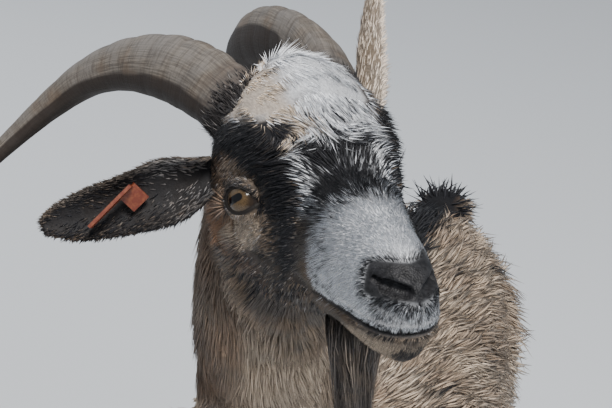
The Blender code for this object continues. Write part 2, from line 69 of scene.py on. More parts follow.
def near(places, middle, radii):
    # 1 inside an egg with these half sizes, fading to 0 outside it
    far = np.linalg.norm((places - np.array(middle)) / np.array(radii), axis=-1)
    return 1 - ramp(far, 0.72, 1.28)


def nearLine(places, start, end, radius, soft=0.35):
    # 1 within the radius of a straight line from start to end, fading to 0 outside it
    start, end = np.array(start, float), np.array(end, float)
    run = end - start
    along = np.clip((places - start) @ run / (run @ run), 0, 1)
    far = np.linalg.norm(places - start - along[:, None] * run, axis=-1) / radius
    return 1 - ramp(far, 1 - soft, 1 + soft)


def drift(points, size, seed):
    # eight sine waves of random heading and pitch added up, about -1 to 1
    spin = np.random.default_rng(seed)
    heading = unit(spin.normal(size=(8, 3))) * spin.uniform(0.6, 1.7, (8, 1))
    return np.sin(points @ heading.T * (fullTurn / size) + spin.uniform(0, 6.28, 8)).mean(axis=1) * 2


def throughKnots(knots, values, at):
    # cubic Hermite curve through the rows, with slopes from each row's neighbours
    knots, values, at = np.asarray(knots, float), np.asarray(values, float), np.asarray(at, float)
    slopes = np.gradient(values, knots, axis=0)
    i = np.clip(np.searchsorted(knots, at, side="right") - 1, 0, len(knots) - 2)
    span = knots[i + 1] - knots[i]
    t = (at - knots[i]) / span
    if values.ndim > 1:
        span, t = span[:, None], t[:, None]
    return (
        (2 * t**3 - 3 * t**2 + 1) * values[i] + (t**3 - 2 * t**2 + t) * span * slopes[i]
        + (3 * t**2 - 2 * t**3) * values[i + 1] + (t**3 - t**2) * span * slopes[i + 1]
    )


def placed(name, data):
    made = bpy.data.objects.new(name, data)
    bpy.context.scene.collection.objects.link(made)
    return made


def newPiece(name, points, corners, finish):
    # corners is a list of (count, sides) arrays of vertex numbers
    mesh = bpy.data.meshes.new(name)
    mesh.vertices.add(len(points))
    mesh.vertices.foreach_set("co", np.ascontiguousarray(points, np.float32).ravel())
    sizes = np.concatenate([np.full(len(c), c.shape[1]) for c in corners])
    mesh.loops.add(int(sizes.sum()))
    mesh.loops.foreach_set("vertex_index", np.concatenate([c.ravel() for c in corners]).astype(np.int32))
    mesh.polygons.add(len(sizes))
    mesh.polygons.foreach_set("loop_start", (np.cumsum(sizes) - sizes).astype(np.int32))
    mesh.update(calc_edges=True)
    mesh.shade_smooth()
    mesh.materials.append(finish)
    return placed(name, mesh)


def tell(piece, name, kind, values):
    # an attribute with one value for each vertex
    made = piece.data.attributes.new(name, kind, "POINT")
    field = "color" if kind == "FLOAT_COLOR" else "vector"
    made.data.foreach_set(field, np.ascontiguousarray(values, np.float32).ravel())


def tubeCorners(rings, sides, closed=False):
    # squares between neighbouring rings of a tube, and fans over its two ends unless it closes on itself
    row = np.arange(rings if closed else rings - 1)[:, None]
    k = np.arange(sides)[None, :]
    nextRow, n = (row + 1) % rings, (k + 1) % sides
    squares = np.stack([row * sides + k, row * sides + n, nextRow * sides + n, nextRow * sides + k], -1)
    found = [squares.reshape(-1, 4)]
    if not closed:
        for end in (np.arange(sides)[::-1], np.arange(sides) + (rings - 1) * sides):
            found.append(np.stack([end[:-2] * 0 + end[0], end[1:-1], end[2:]], -1))
    return found


def outwardFacing(points, corners):
    # turns every face round if the closed shell's volume comes out negative
    volume = sum(
        np.einsum("ij,ij->i", points[c[:, 0]], np.cross(points[c[:, k]], points[c[:, k + 1]])).sum()
        for c in corners for k in range(1, c.shape[1] - 1)
    )
    return corners if volume > 0 else [c[:, ::-1] for c in corners]


def meshArrays(mesh):
    # points, smooth normals and triangles of a mesh
    mesh.calc_loop_triangles()

    def rows(source, field, kind):
        values = np.empty(len(source) * 3, kind)
        source.foreach_get(field, values)
        return values.reshape(-1, 3)

    points = rows(mesh.vertices, "co", np.float32).astype(float)
    normals = rows(mesh.vertex_normals, "vector", np.float32).astype(float)
    return points, normals, rows(mesh.loop_triangles, "vertices", np.int32)


# the head's own axes, found from the two eyes
headPlan = {"lift": 20.2, "eyeFore": -6.0, "eyeUp": -3.0, "eyeOut": 42.0}


def middleOf(node):
    low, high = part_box(node)
    return np.array(low + high) / 2


lift = np.radians(headPlan["lift"])
headLeft = unit(middleOf("eye_left") - middleOf("eye_right"))
headFore = np.cross(headLeft, upright) * np.cos(lift) + upright * np.sin(lift)
headUp = np.cross(headFore, headLeft)
headAxes = np.array([headFore, headLeft, headUp])
headAt = (middleOf("eye_left") + middleOf("eye_right")) / 2
headAt = headAt - (headFore * headPlan["eyeFore"] + headUp * headPlan["eyeUp"]) * mm
medianX = middleOf("trunk")[0]
limbPlan = {"out": 0.077, "front": -0.19, "hind": 0.22, "between": 0.02}    # where the legs stand, in metres


def toHead(points):
    # fore, left and up of the point between the eyes, in millimetres
    return (points - headAt) @ headAxes.T / mm


def fromHead(places):
    # such millimetres as a place of the scene
    return headAt + np.asarray(places, float) * mm @ headAxes


def alongHead(ways):
    # ways given by the head's axes, turned to the scene's
    return unit(np.asarray(ways, float) @ headAxes)


cameraPlan = {
    "lens": 88.4, "sensor": 36.0, "nearest": 0.02, "bearing": 16.5,
    "head": (0.00951, 0.01141, -0.87364),    # the head's origin as the camera sees it: right, up, back
    "sky": (0.0351, 0.8990, 0.4364),         # straight up as the camera sees it
}


def makeCamera():
    # the turn that takes straight up and the level way to the camera, as the camera sees them, to the scene's
    sky, head = unit(np.array(cameraPlan["sky"])), np.array(cameraPlan["head"])
    nearer = unit(-head + (head @ sky) * sky)
    bearing = np.radians(cameraPlan["bearing"])
    away = np.array((np.sin(bearing), -np.cos(bearing), 0))
    pairs = (upright, sky), (away, nearer), (np.cross(upright, away), np.cross(sky, nearer))
    turned = sum(np.outer(inScene, seen) for inScene, seen in pairs)
    place = np.eye(4)
    place[:3, :3], place[:3, 3] = turned, headAt - turned @ head
    data = bpy.data.cameras.new("camera")
    data.lens, data.sensor_width, data.clip_start = (cameraPlan[key] for key in ("lens", "sensor", "nearest"))
    made = placed("camera", data)
    made.matrix_world = Matrix(place.tolist())
    bpy.context.scene.camera = made


studioPlan = {
    # place, size, power, colour
    "lamps": {
        "key": ((0.87, -1.55, 3.3), 0.8, 172, (1.0, 0.97, 0.93)),
        "side": ((2.5, -1.2, 1.5), 1.6, 26, (0.94, 0.97, 1.0)),
        "rim": ((-2.2, 1.4, 2.0), 1.4, 34, (0.95, 0.97, 1.0)),
    },
    "aim": (0.06, -0.25, 0.62),
    "sky": {"Color": (0.80, 0.86, 0.95, 1), "Strength": 0.50},
    "floor": {"Base Color": (0.60, 0.62, 0.64, 1), "Roughness": 0.9}, "floorReach": 9.0,
}


def makeLights():
    for name, (place, size, power, colour) in studioPlan["lamps"].items():
        data = bpy.data.lights.new(name, "AREA")
        data.size, data.energy, data.color = size, power, colour
        aim = (Vector(studioPlan["aim"]) - Vector(place)).to_track_quat("-Z", "Y")
        placed(name, data).matrix_world = Matrix.Translation(place) @ aim.to_matrix().to_4x4()
    world = bpy.data.worlds.new("studio")
    bpy.context.scene.world = world
    world.use_nodes = True
    for key, value in studioPlan["sky"].items():
        world.node_tree.nodes["Background"].inputs[key].default_value = value


def makeFloor():
    finish = bpy.data.materials.new("floor")
    finish.use_nodes = True
    for key, value in studioPlan["floor"].items():
        finish.node_tree.nodes["Principled BSDF"].inputs[key].default_value = value
    square = np.array([(-1, -1, 0), (1, -1, 0), (1, 1, 0), (-1, 1, 0)]) * studioPlan["floorReach"]
    made = newPiece("floor", square, [np.array([[0, 1, 2, 3]])], finish)


makeCamera()
makeLights()
makeFloor()
print("camera and lights made")


# materials: a wrapped socket for sums, and one method for every other node
class Wire:
    def __init__(self, finish, socket):
        self.finish, self.socket = finish, socket

    def sum(self, operation, other, turned=False):
        pair = [other, self] if turned else [self, other]
        return self.finish.node("Math", {"operation": operation}, dict(enumerate(pair)))

    def __add__(self, other):
        return self.sum("ADD", other)

    def __sub__(self, other):
        return self.sum("SUBTRACT", other)

    def __mul__(self, other):
        return self.sum("MULTIPLY", other)

    def __pow__(self, other):
        return self.sum("POWER", other)

    def __radd__(self, other):
        return self.sum("ADD", other, True)

    def __rsub__(self, other):
        return self.sum("SUBTRACT", other, True)

    def __rmul__(self, other):
        return self.sum("MULTIPLY", other, True)

    def __rpow__(self, other):
        return self.sum("POWER", other, True)

    def between(self, low, high):
        # 0 at low and 1 at high, held flat outside
        settings = {"interpolation_type": "SMOOTHSTEP"}
        return self.finish.node("MapRange", settings, {"Value": self, "From Min": low, "From Max": high})


class Finish:
    def __init__(self, name, **constants):
        self.made = bpy.data.materials.new(name)
        self.made.use_nodes = True
        self.tree = self.made.node_tree
        self.shader = self.tree.nodes["Principled BSDF"]
        for key, value in constants.items():
            self.shader.inputs[key.replace("_", " ")].default_value = value

    def put(self, value, socket):
        # a link from a wire, and a plain value otherwise
        if isinstance(value, Wire):
            self.tree.links.new(value.socket, socket)
        elif isinstance(value, tuple) and len(value) == 3 and socket.type == "RGBA":
            socket.default_value = (*value, 1)
        else:
            socket.default_value = value

    def node(self, kind, settings=None, values=None, output=0):
        # a node of any kind: its settings first, then its sockets' values or links
        made = self.tree.nodes.new("ShaderNode" + kind)
        for key, value in (settings or {}).items():
            setattr(made, key, value)
        for key, value in (values or {}).items():
            self.put(value, made.inputs[key])
        return Wire(self, made.outputs[output])

    def blend(self, first, second, share, mode="MIX"):
        # colours mixed by the share, 0 is the first
        settings = {"data_type": "RGBA", "blend_type": mode}
        return self.node("Mix", settings, {0: share, 6: first, 7: second}, 2)

    def layers(self, colours, colour, **shares):
        # named colours laid over the first one in turn, each by its share
        for name, share in shares.items():
            colour = self.blend(colour, colours[name], share)
        return colour

    def shaded(self, colour, shade):
        # a colour times a number
        grey = self.node("CombineColor", None, {0: shade, 1: shade, 2: shade})
        return self.blend(colour, grey, 1.0, "MULTIPLY")

    def noise(self, vector, scale, detail=3.0, rough=0.55):
        values = {"Vector": vector, "Scale": scale, "Detail": detail, "Roughness": rough}
        return self.node("TexNoise", None, values)

    def place(self, scale=(1.0, 1.0, 1.0), turn=(0.0, 0.0, 0.0)):
        # object coordinates, turned and then stretched
        here = self.node("TexCoord", None, None, 3)
        turned = self.node("Mapping", {"vector_type": "TEXTURE"}, {"Vector": here, "Rotation": turn})
        return self.node("Mapping", {"vector_type": "POINT"}, {"Vector": turned, "Scale": scale})

    def split(self, vector):
        # the three parts of a vector
        first = self.node("SeparateXYZ", None, {0: vector})
        return [Wire(self, out) for out in first.socket.node.outputs]

    def join(self, x, y, z):
        return self.node("CombineXYZ", None, {0: x, 1: y, 2: z})

    def read(self, name, output=1):
        # a vertex attribute: output 1 is its vector and 3 its alpha
        return self.node("Attribute", {"attribute_name": name}, None, output)

    def relief(self, height, distance, strength):
        made = self.node("Bump", None, {"Height": height, "Distance": distance, "Strength": strength})
        self.put(made, self.shader.inputs["Normal"])

    def feed(self, **links):
        # what varies over the surface goes in last, and the material is done
        for key, value in links.items():
            self.put(value, self.shader.inputs[key.replace("_", " ")])
        return self.made


headTurn = tuple(Matrix(headAxes.T.tolist()).to_euler())

furColours = {
    "tan": (0.205, 0.150, 0.105), "grey": (0.150, 0.132, 0.118), "warm": (0.235, 0.118, 0.058),
    "black": (0.0120, 0.0122, 0.0155), "white": (0.84, 0.86, 0.90), "cream": (0.62, 0.50, 0.38),
}


def furColour(finish):
    # attribute marks holds white, black and warm, and its alpha is cream; the rest is tan going to grey
    white, black, warm = finish.split(finish.read("marks"))
    fine = finish.noise(finish.place(), 55.0, 4.0, 0.6)
    colour = finish.blend(furColours["tan"], furColours["grey"], fine.between(0.38, 0.62))
    cream = finish.read("marks", 3)
    return finish.layers(furColours, colour, warm=warm, cream=cream, white=white, black=black)


def coatFinish():
    # hairs inside a tuft: streaks across it, painted shade that darkens it at the root, and paler at the tip
    finish = Finish("coat", Roughness=0.66, Specular_IOR_Level=0.16, Sheen_Weight=0.04, Sheen_Roughness=0.5)
    along, across, chance = finish.split(finish.read("strand"))
    streak = finish.noise(finish.join(across * 2.2 + chance * 40.0, along * 0.7, chance * 13.0), 1.6, 2.0)
    # painted shade: the first factor darkens each tuft towards its root, as if the hairs shaded it; the
    # others are random tone and streaks
    shade = (0.62 + 0.50 * along.between(0.0, 0.55)) * (0.67 + 0.66 * chance) * (0.60 + 0.80 * streak)
    finish.relief(streak, 0.0004, 0.6)
    return finish.feed(Base_Color=finish.shaded(furColour(finish), shade))


skinColours = {
    "hide": (0.006, 0.006, 0.007), "paleHide": (0.019, 0.019, 0.021), "rim": (0.010, 0.008, 0.007),
    # hollow is painted shade, near black, in the nostrils and along the mouth's line
    "hollow": (0.006, 0.0045, 0.0045),
}


def skinFinish():
    # under the coat the hair's colour in short streaks, darkened by painted shade of the hairs over it;
    # leather, lid rims and the painted shade of the nostrils and the mouth's line by attribute
    finish = Finish("skin", Specular_IOR_Level=0.2)
    leather, rim, hollow = finish.split(finish.read("bare"))
    streak = finish.noise(finish.place((110.0, 900.0, 900.0), headTurn), 1.0, 3.0)
    grain = finish.node("TexVoronoi", {"feature": "F1"}, {"Vector": finish.place(), "Scale": 900.0})
    # painted shade: the skin's colour darkened well below the hair's, as if shaded by the coat
    colour = finish.shaded(furColour(finish), 0.12 + 0.72 * streak)
    mottle = finish.noise(finish.place(), 260.0, 4.0)
    hide = finish.blend(skinColours["hide"], skinColours["paleHide"], mottle.between(0.38, 0.7))
    colour = finish.layers(skinColours, finish.blend(colour, hide, leather), rim=rim, hollow=hollow)
    finish.relief(streak * (1 - leather) + grain * leather * 0.9, 0.0005, 0.7)
    return finish.feed(Base_Color=colour, Roughness=0.78 - 0.26 * leather - 0.20 * rim)


# markings and the lie of the hair
medianMouth = ([-200, 40, 50, 57, 76, 94, 108, 125], [-51, -51, -52, -53, -58.8, -66, -70.3, -71.5])
markPlan = {
    # a line's two ends, in mm fore and up of the point between the eyes, and its reach
    "hornToEye": ((-60, 36), (-8, 36), 11), "overEye": ((-2, 34), (18, 25), 10.5),
    "beforeEye": ((20, 21), (36, -2), 14), "downFace": ((32, 0), (33, -44), 18),
    "mouthCorner": ((40, -28), (50, -52), 12), "tearLine": ((9, -3), (19, -8), 2.4),
    "temple": ((-44, 16), (-12, 15), 11), "crestPoint": ((-14, 47), (14, 33), 9),
    # a spot's middle, fore and up, and its half sizes
    "eyeRing": ((-5, 0), (14, 10)), "underEye": ((-3, -20), (12, 10)), "paleBrow": ((-10, 16), (15, 8)),
    "paleCheek": ((15, -22), (9, 16)), "cheek": ((-2, -54), (46, 26)), "chin": ((106, -84), (10, 6)),
    "underJaw": ((72, -76), (38, 10)), "jowl": ((-62, -42), (24, 42)), "warmTemple": ((-30, -16), (15, 20)),
    "warmBrow": ((-20, 17), (24, 9)), "warmJaw": ((-16, -50), (14, 22)),
    "forehead": ((9, -8), (9, 26)),                          # fore and left
    "warmNeck": ((-78, -50, -92), (18, 18, 24)),             # fore, left and up
    "nosePad": ((0, -43.8), (13.5, -41.5)),                  # a line's two ends, out and up
    "leftEdge": ([-30, -16, 11, 20, 29, 44, 70, 92], [36, 35, 26, 27.5, 30, 27, 19, 15]),    # the blaze's
    "rightEdge": 23.0,
}


def zones(points):
    # shares of head, neck and legs for each point, and its place from the head; the rest is trunk
    h = toHead(points)
    head = ramp(h[:, 0], -72, -44) * ramp(h[:, 2], -125, -100)
    x, y, z = points.T
    limbs = np.maximum(bump(y, -0.178, 0.062), bump(y, 0.215, 0.085)) * ramp(abs(x - medianX), 0.03, 0.05)
    leg = np.maximum(1 - ramp(z, 0.20, 0.235), (1 - ramp(z, 0.25, 0.34)) * limbs)
    neck = ramp(z, 0.50, 0.58) * (1 - head)
    return head, neck, leg, h


def headMarks(points, h, fine):
    # shares on the head, with ragged edges and specks, and the dark of the jowl, which runs on down the neck
    f, l, u = h.T
    side = abs(l)
    ragged = drift(points, 0.011, 3) * 2.2 + drift(points, 0.030, 4) * 2.4
    f2, u2, s2 = f + ragged, u + ragged * 0.8, side + ragged * 0.6
    flat = np.stack([f2, u2], -1)
    mouth = np.interp(f, *medianMouth)
    speck = 0.45 + (ramp(drift(points, 0.0042, 8) + drift(points, 0.0075, 9), -0.2, 0.5) - 0.45) * fine
    flank = ramp(side, 11, 20)

    def spot(name):
        return near(flat, *markPlan[name])

    def line(name):
        return nearLine(flat, *markPlan[name])

    # a white blaze from the poll down the face; beyond its edges the sides are dark
    rightEdge = markPlan["rightEdge"] + 0.30 * np.clip(13 - u, 0, 40)
    blazeEdge = np.where(l > 0, np.interp(f, *markPlan["leftEdge"]), rightEdge)
    inside = 1 - ramp(s2, blazeEdge - 2.5, blazeEdge + 2.5)
    blaze = inside * ramp(u, -16, -6)
    muzzle = ramp(f2, 50, 58) * ramp(u - mouth, -3, 2)
    muzzle = muzzle * np.where(l > 0, np.maximum(inside, ramp(f2, 74, 84)), 1)
    crest = ramp(u2, 38, 47) * ramp(f2, -66, -48) * (1 - ramp(l, 30, 38) * ramp(f2, -30, -12))
    crest = np.maximum(crest, line("crestPoint") * (1 - ramp(s2, 24, 30)))
    white = np.maximum.reduce([blaze, muzzle, crest])

    # a dark patch across the forehead, with freckles on its left
    patch = ramp(f2, 12, 22) * (1 - ramp(f2, 47, 72)) * (1 + (speck - 0.45) * 0.55)
    patch = patch * (1.22 - 0.48 * ramp(l, 4, 20) + 0.10 * ramp(-l, 4, 14))
    patch = patch * (1 - 0.6 * ramp(ragged * 0.6 - l, rightEdge - 11, rightEdge - 4))
    spots = near(np.stack([f2, l + ragged * 0.6], -1), *markPlan["forehead"]) * (speck * 0.9)
    freckles = ramp(f2, -2, 12) * ramp(l, 12, 20) * speck * 0.34
    patch = np.maximum.reduce([patch, spots, freckles]) * inside * ramp(u, -34, -18)

    # black from the horn over the eye and down the side of the face
    upper = np.maximum.reduce([line("hornToEye"), line("overEye"), line("beforeEye")])
    lower = line("downFace") * (0.92 + 0.18 * speck) - 0.35 * spot("paleCheek")
    sideDark = np.maximum.reduce([upper, lower, line("mouthCorner") * 0.96])
    leftBand = ramp(l, 0, 8) * ramp(f2, -34, -20) * ramp(u, -60, -30) * (0.70 + 0.35 * speck)
    black = np.where(l > 0, np.maximum(sideDark, leftBand), sideDark) * (1 - inside) * (1 - muzzle)
    black = np.maximum(black * (1 - crest * ramp(u2, 38, 44)), patch)
    black = np.maximum(black, line("tearLine") * flank)

    # grey round the nose pad and the lips, under the jaw and through the crest; under the pad dark hair
    # together with painted shade
    pad = np.stack([side, u], -1), *markPlan["nosePad"]
    padEdge = np.maximum(
        nearLine(*pad, 12.5, 0.25) * ramp(f, 86, 95) * 0.55,
        nearLine(*pad, 10.4, 0.14) * ramp(f, 91, 95) * 0.96,
    )
    cheek = spot("cheek") * (0.44 + 0.26 * ramp(drift(points, 0.016, 15), -0.6, 0.9))
    saltyCrest = crest * (ramp(l, 2, 20) * 0.55 + ramp(-l, 12, 24) * 0.26)
    saltyMuzzle = muzzle * ramp(-l, 12, 22) * (1 - ramp(f2, 62, 84)) * 0.5
    behind = ramp(-f, -12, 6) * ramp(-u, 4, 24)
    black = np.maximum.reduce([
        black, cheek * (1 - muzzle), padEdge, (saltyCrest + saltyMuzzle) * speck,
        # under the nose pad: dark hair, darkened further by painted shade
        ramp(f, 94, 102) * (bump(u, -52, 5) * 0.62 + bump(u, -62, 9) * (0.34 + 0.36 * speck)),
        bump(u - mouth, 1, 5.0) * ramp(f, 60, 76) * (0.25 + 0.18 * ramp(f, 84, 98) + 0.5 * speck),
        spot("chin") * 0.75, ramp(mouth - u, 0, 5) * ramp(f, 20, 50) * 0.22, line("temple") * flank * 0.25,
        ramp(drift(points * np.array((1, 1, 0.35)), 0.010, 14), 0.0, 0.8) * behind * 0.45,
    ])

    warm = spot("warmTemple") * 0.85 + spot("warmBrow") * 0.34 + spot("warmJaw") * 0.35
    under = spot("underEye") * flank
    cream = crest * np.maximum(ramp(-l, 8, 20) * 0.90, ramp(-l, -4, 8) * bump(u2, 44, 9) * 0.6)
    cream = np.maximum.reduce([
        cream, under * 0.50, spot("paleBrow") * flank * 0.34, (1 - muzzle) * spot("underJaw") * 0.75,
    ])
    white = white * (1 - 0.9 * cream * crest)
    black = np.maximum(black * (1 - 0.6 * under), spot("eyeRing") * flank * 0.48)
    return np.stack([white, black, warm, cream], -1), spot("jowl") * ramp(side, 34, 48)


def bodyMarks(points, neck, leg, h, jowl):
    # shares on the neck, trunk and legs: a black stripe down the back, black feet, a pale throat, warm drifts
    x, y, z = points.T
    wander = (drift(points, 0.10, 5) + drift(points, 0.045, 6)) * 0.5
    stripe = 1 - ramp(abs(x - medianX) + wander * 0.006, 0.012, 0.026)
    stripe = stripe * ramp(z, 0.40, 0.44) * ramp(y, -0.21, -0.17)
    stocking = 1 - ramp(z + wander * 0.02, 0.13, 0.21)
    belly = ramp(-z, -0.30, -0.25) * (1 - leg)
    warm = np.clip(0.30 + 0.50 * wander, 0, 1) * (1 - leg)
    cream = np.clip((0.86 + 0.5 * drift(points, 0.07, 12)) * (1 - 0.68 * neck), 0, 0.92)
    dapple = np.clip(0.04 + drift(points, 0.05, 13) * 0.35 * (1 - 0.45 * neck) + 0.34 * neck, 0, 0.62)
    throat = neck * ramp(-y, 0.19, 0.25) * ramp(h[:, 1], -46, -24) * (1 - ramp(h[:, 1], 24, 44))
    black = np.maximum.reduce([stripe, stocking * 0.92, belly * 0.4, dapple]) * (1 - 0.8 * throat)
    cream = np.maximum.reduce([cream * (1 - 0.7 * warm), bump(z, 0.045, 0.012) * 0.5 * leg, throat * 0.66])
    warm = np.maximum.reduce([warm, jowl * 0.6, near(h, *markPlan["warmNeck"]) * 0.5])
    return np.stack([0 * z, np.maximum(black, jowl * 0.42), warm, cream * (1 - stripe)], -1)


def markings(points, fine=1.0):
    # white, black, warm and cream shares of the coat's colour at each point
    head, neck, leg, h = zones(points)
    onHead, jowl = headMarks(points, h, fine)
    onHead[:, 1] = np.maximum(onHead[:, 1], jowl * 0.42)
    share = head[:, None]
    return np.clip(onHead * share + bodyMarks(points, neck, leg, h, jowl) * (1 - share), 0, 1)


def layOf(points, normals):
    # the way the hair's tips point: back from the nose, down from the poll and neck, back along the trunk
    head, neck, leg, h = zones(points)
    f, l, u = h.T
    side, out, same = abs(l), np.clip(l / 7, -1, 1), np.ones_like(f)
    flank = ramp(side, 10, 28)
    face = np.stack([-same, out * (0.35 - 0.2 * flank), 0.25 - 0.75 * flank], -1)
    over = 1 - ramp(side, 26, 38)
    # under the jaw it runs back and down; the poll's sweeps forwards, and parts below
    turns = (
        (ramp(-u, 38, 60), np.array((-0.85, 0, -0.5))), (ramp(u, 20, 42) * over, np.array((0.8, 0.42, -0.5))),
        (bump(u, 27, 7) * over * ramp(f, -10, 5), np.stack([-0.1 * same, out, -0.45 * same], -1)),
    )
    for share, sweep in turns:
        face = face * (1 - share[:, None]) + sweep * share[:, None]
    trunk = unit(np.stack([0 * f, 0.85 * same, -0.72 + 0.35 * ramp(points[:, 2], 0.42, 0.50)], -1))
    off = 1 - head
    way = alongHead(face) * head[:, None] + (off - off * np.maximum(neck, leg))[:, None] * trunk
    way = way + (off * neck)[:, None] * unit(np.array((0.0, 0.42, -1.0)))
    way = way + (off * leg)[:, None] * unit(np.array((0.0, 0.12, -1.0)))
    way = unit(way - normals * (way * normals).sum(-1, keepdims=True))
    turn = (drift(points, 0.05, 21) * 0.30 + drift(points, 0.018, 22) * 0.16)[:, None]
    return unit(way * np.cos(turn) + np.cross(normals, way) * np.sin(turn))


# the skin, and what it is cut and moulded by
skinPlan = {
    "voxel": 0.0046, "headVoxel": 0.0020, "smoothing": 6, "headSmoothing": 3,
    "flesh": ["trunk", "neck", "head", "lower_jaw", "tail"] + [
        f"{part}_{end}_{side}"
        for part in ("leg", "shank") for end in ("front", "hind") for side in ("left", "right")
    ],
}
eyePlan = {
    "radius": 14.0, "stand": {1: -2.8, -1: 0.9}, "back": {1: 3.5, -1: 0.0}, "cornea": 1.3, "corneaEdge": 40.0,
    "axis": (0.565, 0.813, 0.115), "fore": (0.825, -0.555, -0.0997),    # of the left eye
    "pupil": (-1.1, 0.2), "pupilTilt": 30.0, "pupilHalf": 3.3,
}
facePlan = {
    # fore, out and up of each bend of the nostril in mm, then lines with their reach and softness
    "nostril": ((100.5, 18.0, -40.5), (107.0, 14.5, -44.2), (115.5, 6.5, -48.2)),
    "wing": ((104, 17, -36), (117, 7, -43), 5.0, 0.6), "wingFoot": ((104, 17, -48), (116, 8, -55), 4, 0.6),
    "cheekRidge": ((4, 44, -26), (42, 32, -38), 5, 0.8),
    # brow, tear pit, jaw's angle and chin: middle, spread and height
    "swells": (
        ((2, 44, 15), 9, 1.8), ((17, 38, -8), 8, -1.6), ((-22, 52, -42), 17, 1.6), ((100, 0, -82), 9, 0.8),
    ),
}


def gathered(name, parts):
    joined = bmesh.new()
    for part in parts:
        joined.from_mesh(nodes[part].data)
    bmesh.ops.remove_doubles(joined, verts=joined.verts, dist=1e-5)
    mesh = bpy.data.meshes.new(name)
    joined.to_mesh(mesh)
    joined.free()
    return placed(name, mesh)


def settle(made):
    # applies every modifier
    shape = bpy.data.meshes.new_from_object(made.evaluated_get(bpy.context.evaluated_depsgraph_get()))
    made.modifiers.clear()
    old, made.data = made.data, shape
    bpy.data.meshes.remove(old)


def soften(made, rounds, group=""):
    soft = made.modifiers.new("soft", "SMOOTH")
    soft.factor, soft.iterations, soft.vertex_group = 0.5, rounds, group
    settle(made)


def remeshed(made, voxel, rounds):
    step = made.modifiers.new("clay", "REMESH")
    step.mode, step.voxel_size = "VOXEL", voxel
    soften(made, rounds)


def refined(made, chosen):
    # every chosen face split in four
    shape = bmesh.new()
    shape.from_mesh(made.data)
    centres = np.array([f.calc_center_median() for f in shape.faces])
    picked = [f for f, keep in zip(shape.faces, chosen(centres)) if keep]
    edges = list({e for f in picked for e in f.edges})
    bmesh.ops.subdivide_edges(shape, edges=edges, cuts=1, use_grid_fill=True)
    shape.to_mesh(made.data)
    shape.free()


def eyeAxes(sign):
    # the eyeball's centre, and its axes outwards, forwards and upwards, in the head's millimetres
    turned = np.array((1, sign, 1))
    centre = np.array([headPlan[key] for key in ("eyeFore", "eyeOut", "eyeUp")]) * turned
    centre = centre - (eyePlan["back"][sign], 0, 0)
    axis, fore = unit(np.array(eyePlan["axis"]) * turned), unit(np.array(eyePlan["fore"]) * turned)
    fore = unit(fore - axis * (fore @ axis))
    up = np.cross(axis, fore)
    up = up * np.sign(up[2])
    return centre + axis * eyePlan["stand"][sign], axis, fore, up


def depthOf(points):
    # how far the skin lies inside the outline of the coat, in millimetres
    head, neck, leg, h = zones(points)
    f, l, u = h.T
    face = 3.4 - 1.6 * ramp(f, 30, 62) + (2.2 + 3.5 * ramp(-l, 2, 22)) * ramp(u, 34, 60)
    face = face + 2.0 * ramp(-f, 25, 55) + 1.5 * ramp(-u, 50, 75) * (1 - ramp(f, 50, 75))
    tail = ramp(points[:, 1], 0.300, 0.322) * ramp(points[:, 2], 0.34, 0.37)
    shank = 1 - ramp(points[:, 2], 0.16, 0.20)
    trunk = 19 * (1 - neck) * (1 - 0.75 * tail) + 14 * neck
    return head * face + (1 - head) * (trunk * (1 - leg) + (7.5 - 3.5 * shank) * leg)


def alongNostril(here, narrow, wide):
    # 1 inside a bent slit that widens forwards; narrow and wide are each a reach and its softness
    back, bend, front = facePlan["nostril"]
    return np.maximum(nearLine(here, back, bend, *narrow), nearLine(here, bend, front, *wide))


def sculpted(points, normals):
    # features of the face, each a small move along the surface's normal or a given way, in millimetres
    h = toHead(points)
    f, l, u = h.T
    mouth = np.interp(f, *medianMouth)
    here = np.stack([f, abs(l), u], -1)
    slit = alongNostril(here, (2.0, 0.6), (3.2, 0.5))
    rise = 0.9 * (bump(u, mouth + 3.6, 2.4) + 0.8 * bump(u, mouth - 3.8, 2.6)) * ramp(f, 55, 75)
    rise = rise - 2.6 * bump(u, mouth, 1.25) * ramp(f, 44, 54)    # between the lips
    rise = rise - 1.0 * bump(l, 0, 0.8) * ramp(f, 103, 109) * ramp(-u, 47, 53) * (1 - ramp(-u, 66, 71))
    rise = rise - 0.7 * bump(f, 84, 4) * ramp(-u, 66, 76)
    for height, name in ((1.3, "wing"), (0.6, "wingFoot")):
        rise = rise + height * nearLine(here, *facePlan[name]) * (1 - slit)
    rise = rise + 1.0 * nearLine(here, *facePlan["cheekRidge"])
    for middle, spread, height in facePlan["swells"]:
        rise = rise + height * bump(np.linalg.norm(here - middle, axis=1), 0, spread)
    moved = h + (normals @ headAxes.T) * rise[:, None]
    moved = moved + slit[:, None] * np.stack([-5.6 + 0 * f, -np.sign(l), 1.8 + 0 * f], -1)
    for sign in (1, -1):
        # the socket: points close to the gaze sink below the eyeball's surface
        centre, axis = eyeAxes(sign)[:2]
        way = moved - centre
        far = np.linalg.norm(way, axis=1)
        safe = np.maximum(far, 1e-6)
        angle = np.degrees(np.arccos(np.clip((way @ axis) / safe, -1, 1)))
        sink = (1 - ramp(angle, 48, 72)) * (far < 30)
        depth = far * (1 - sink) + np.minimum(far, eyePlan["radius"] - 3.0) * sink
        moved = centre + way * (depth / safe)[:, None]
    on = ramp(f, -70, -50) * ramp(u, -120, -100)
    return fromHead(h + (moved - h) * on[:, None])


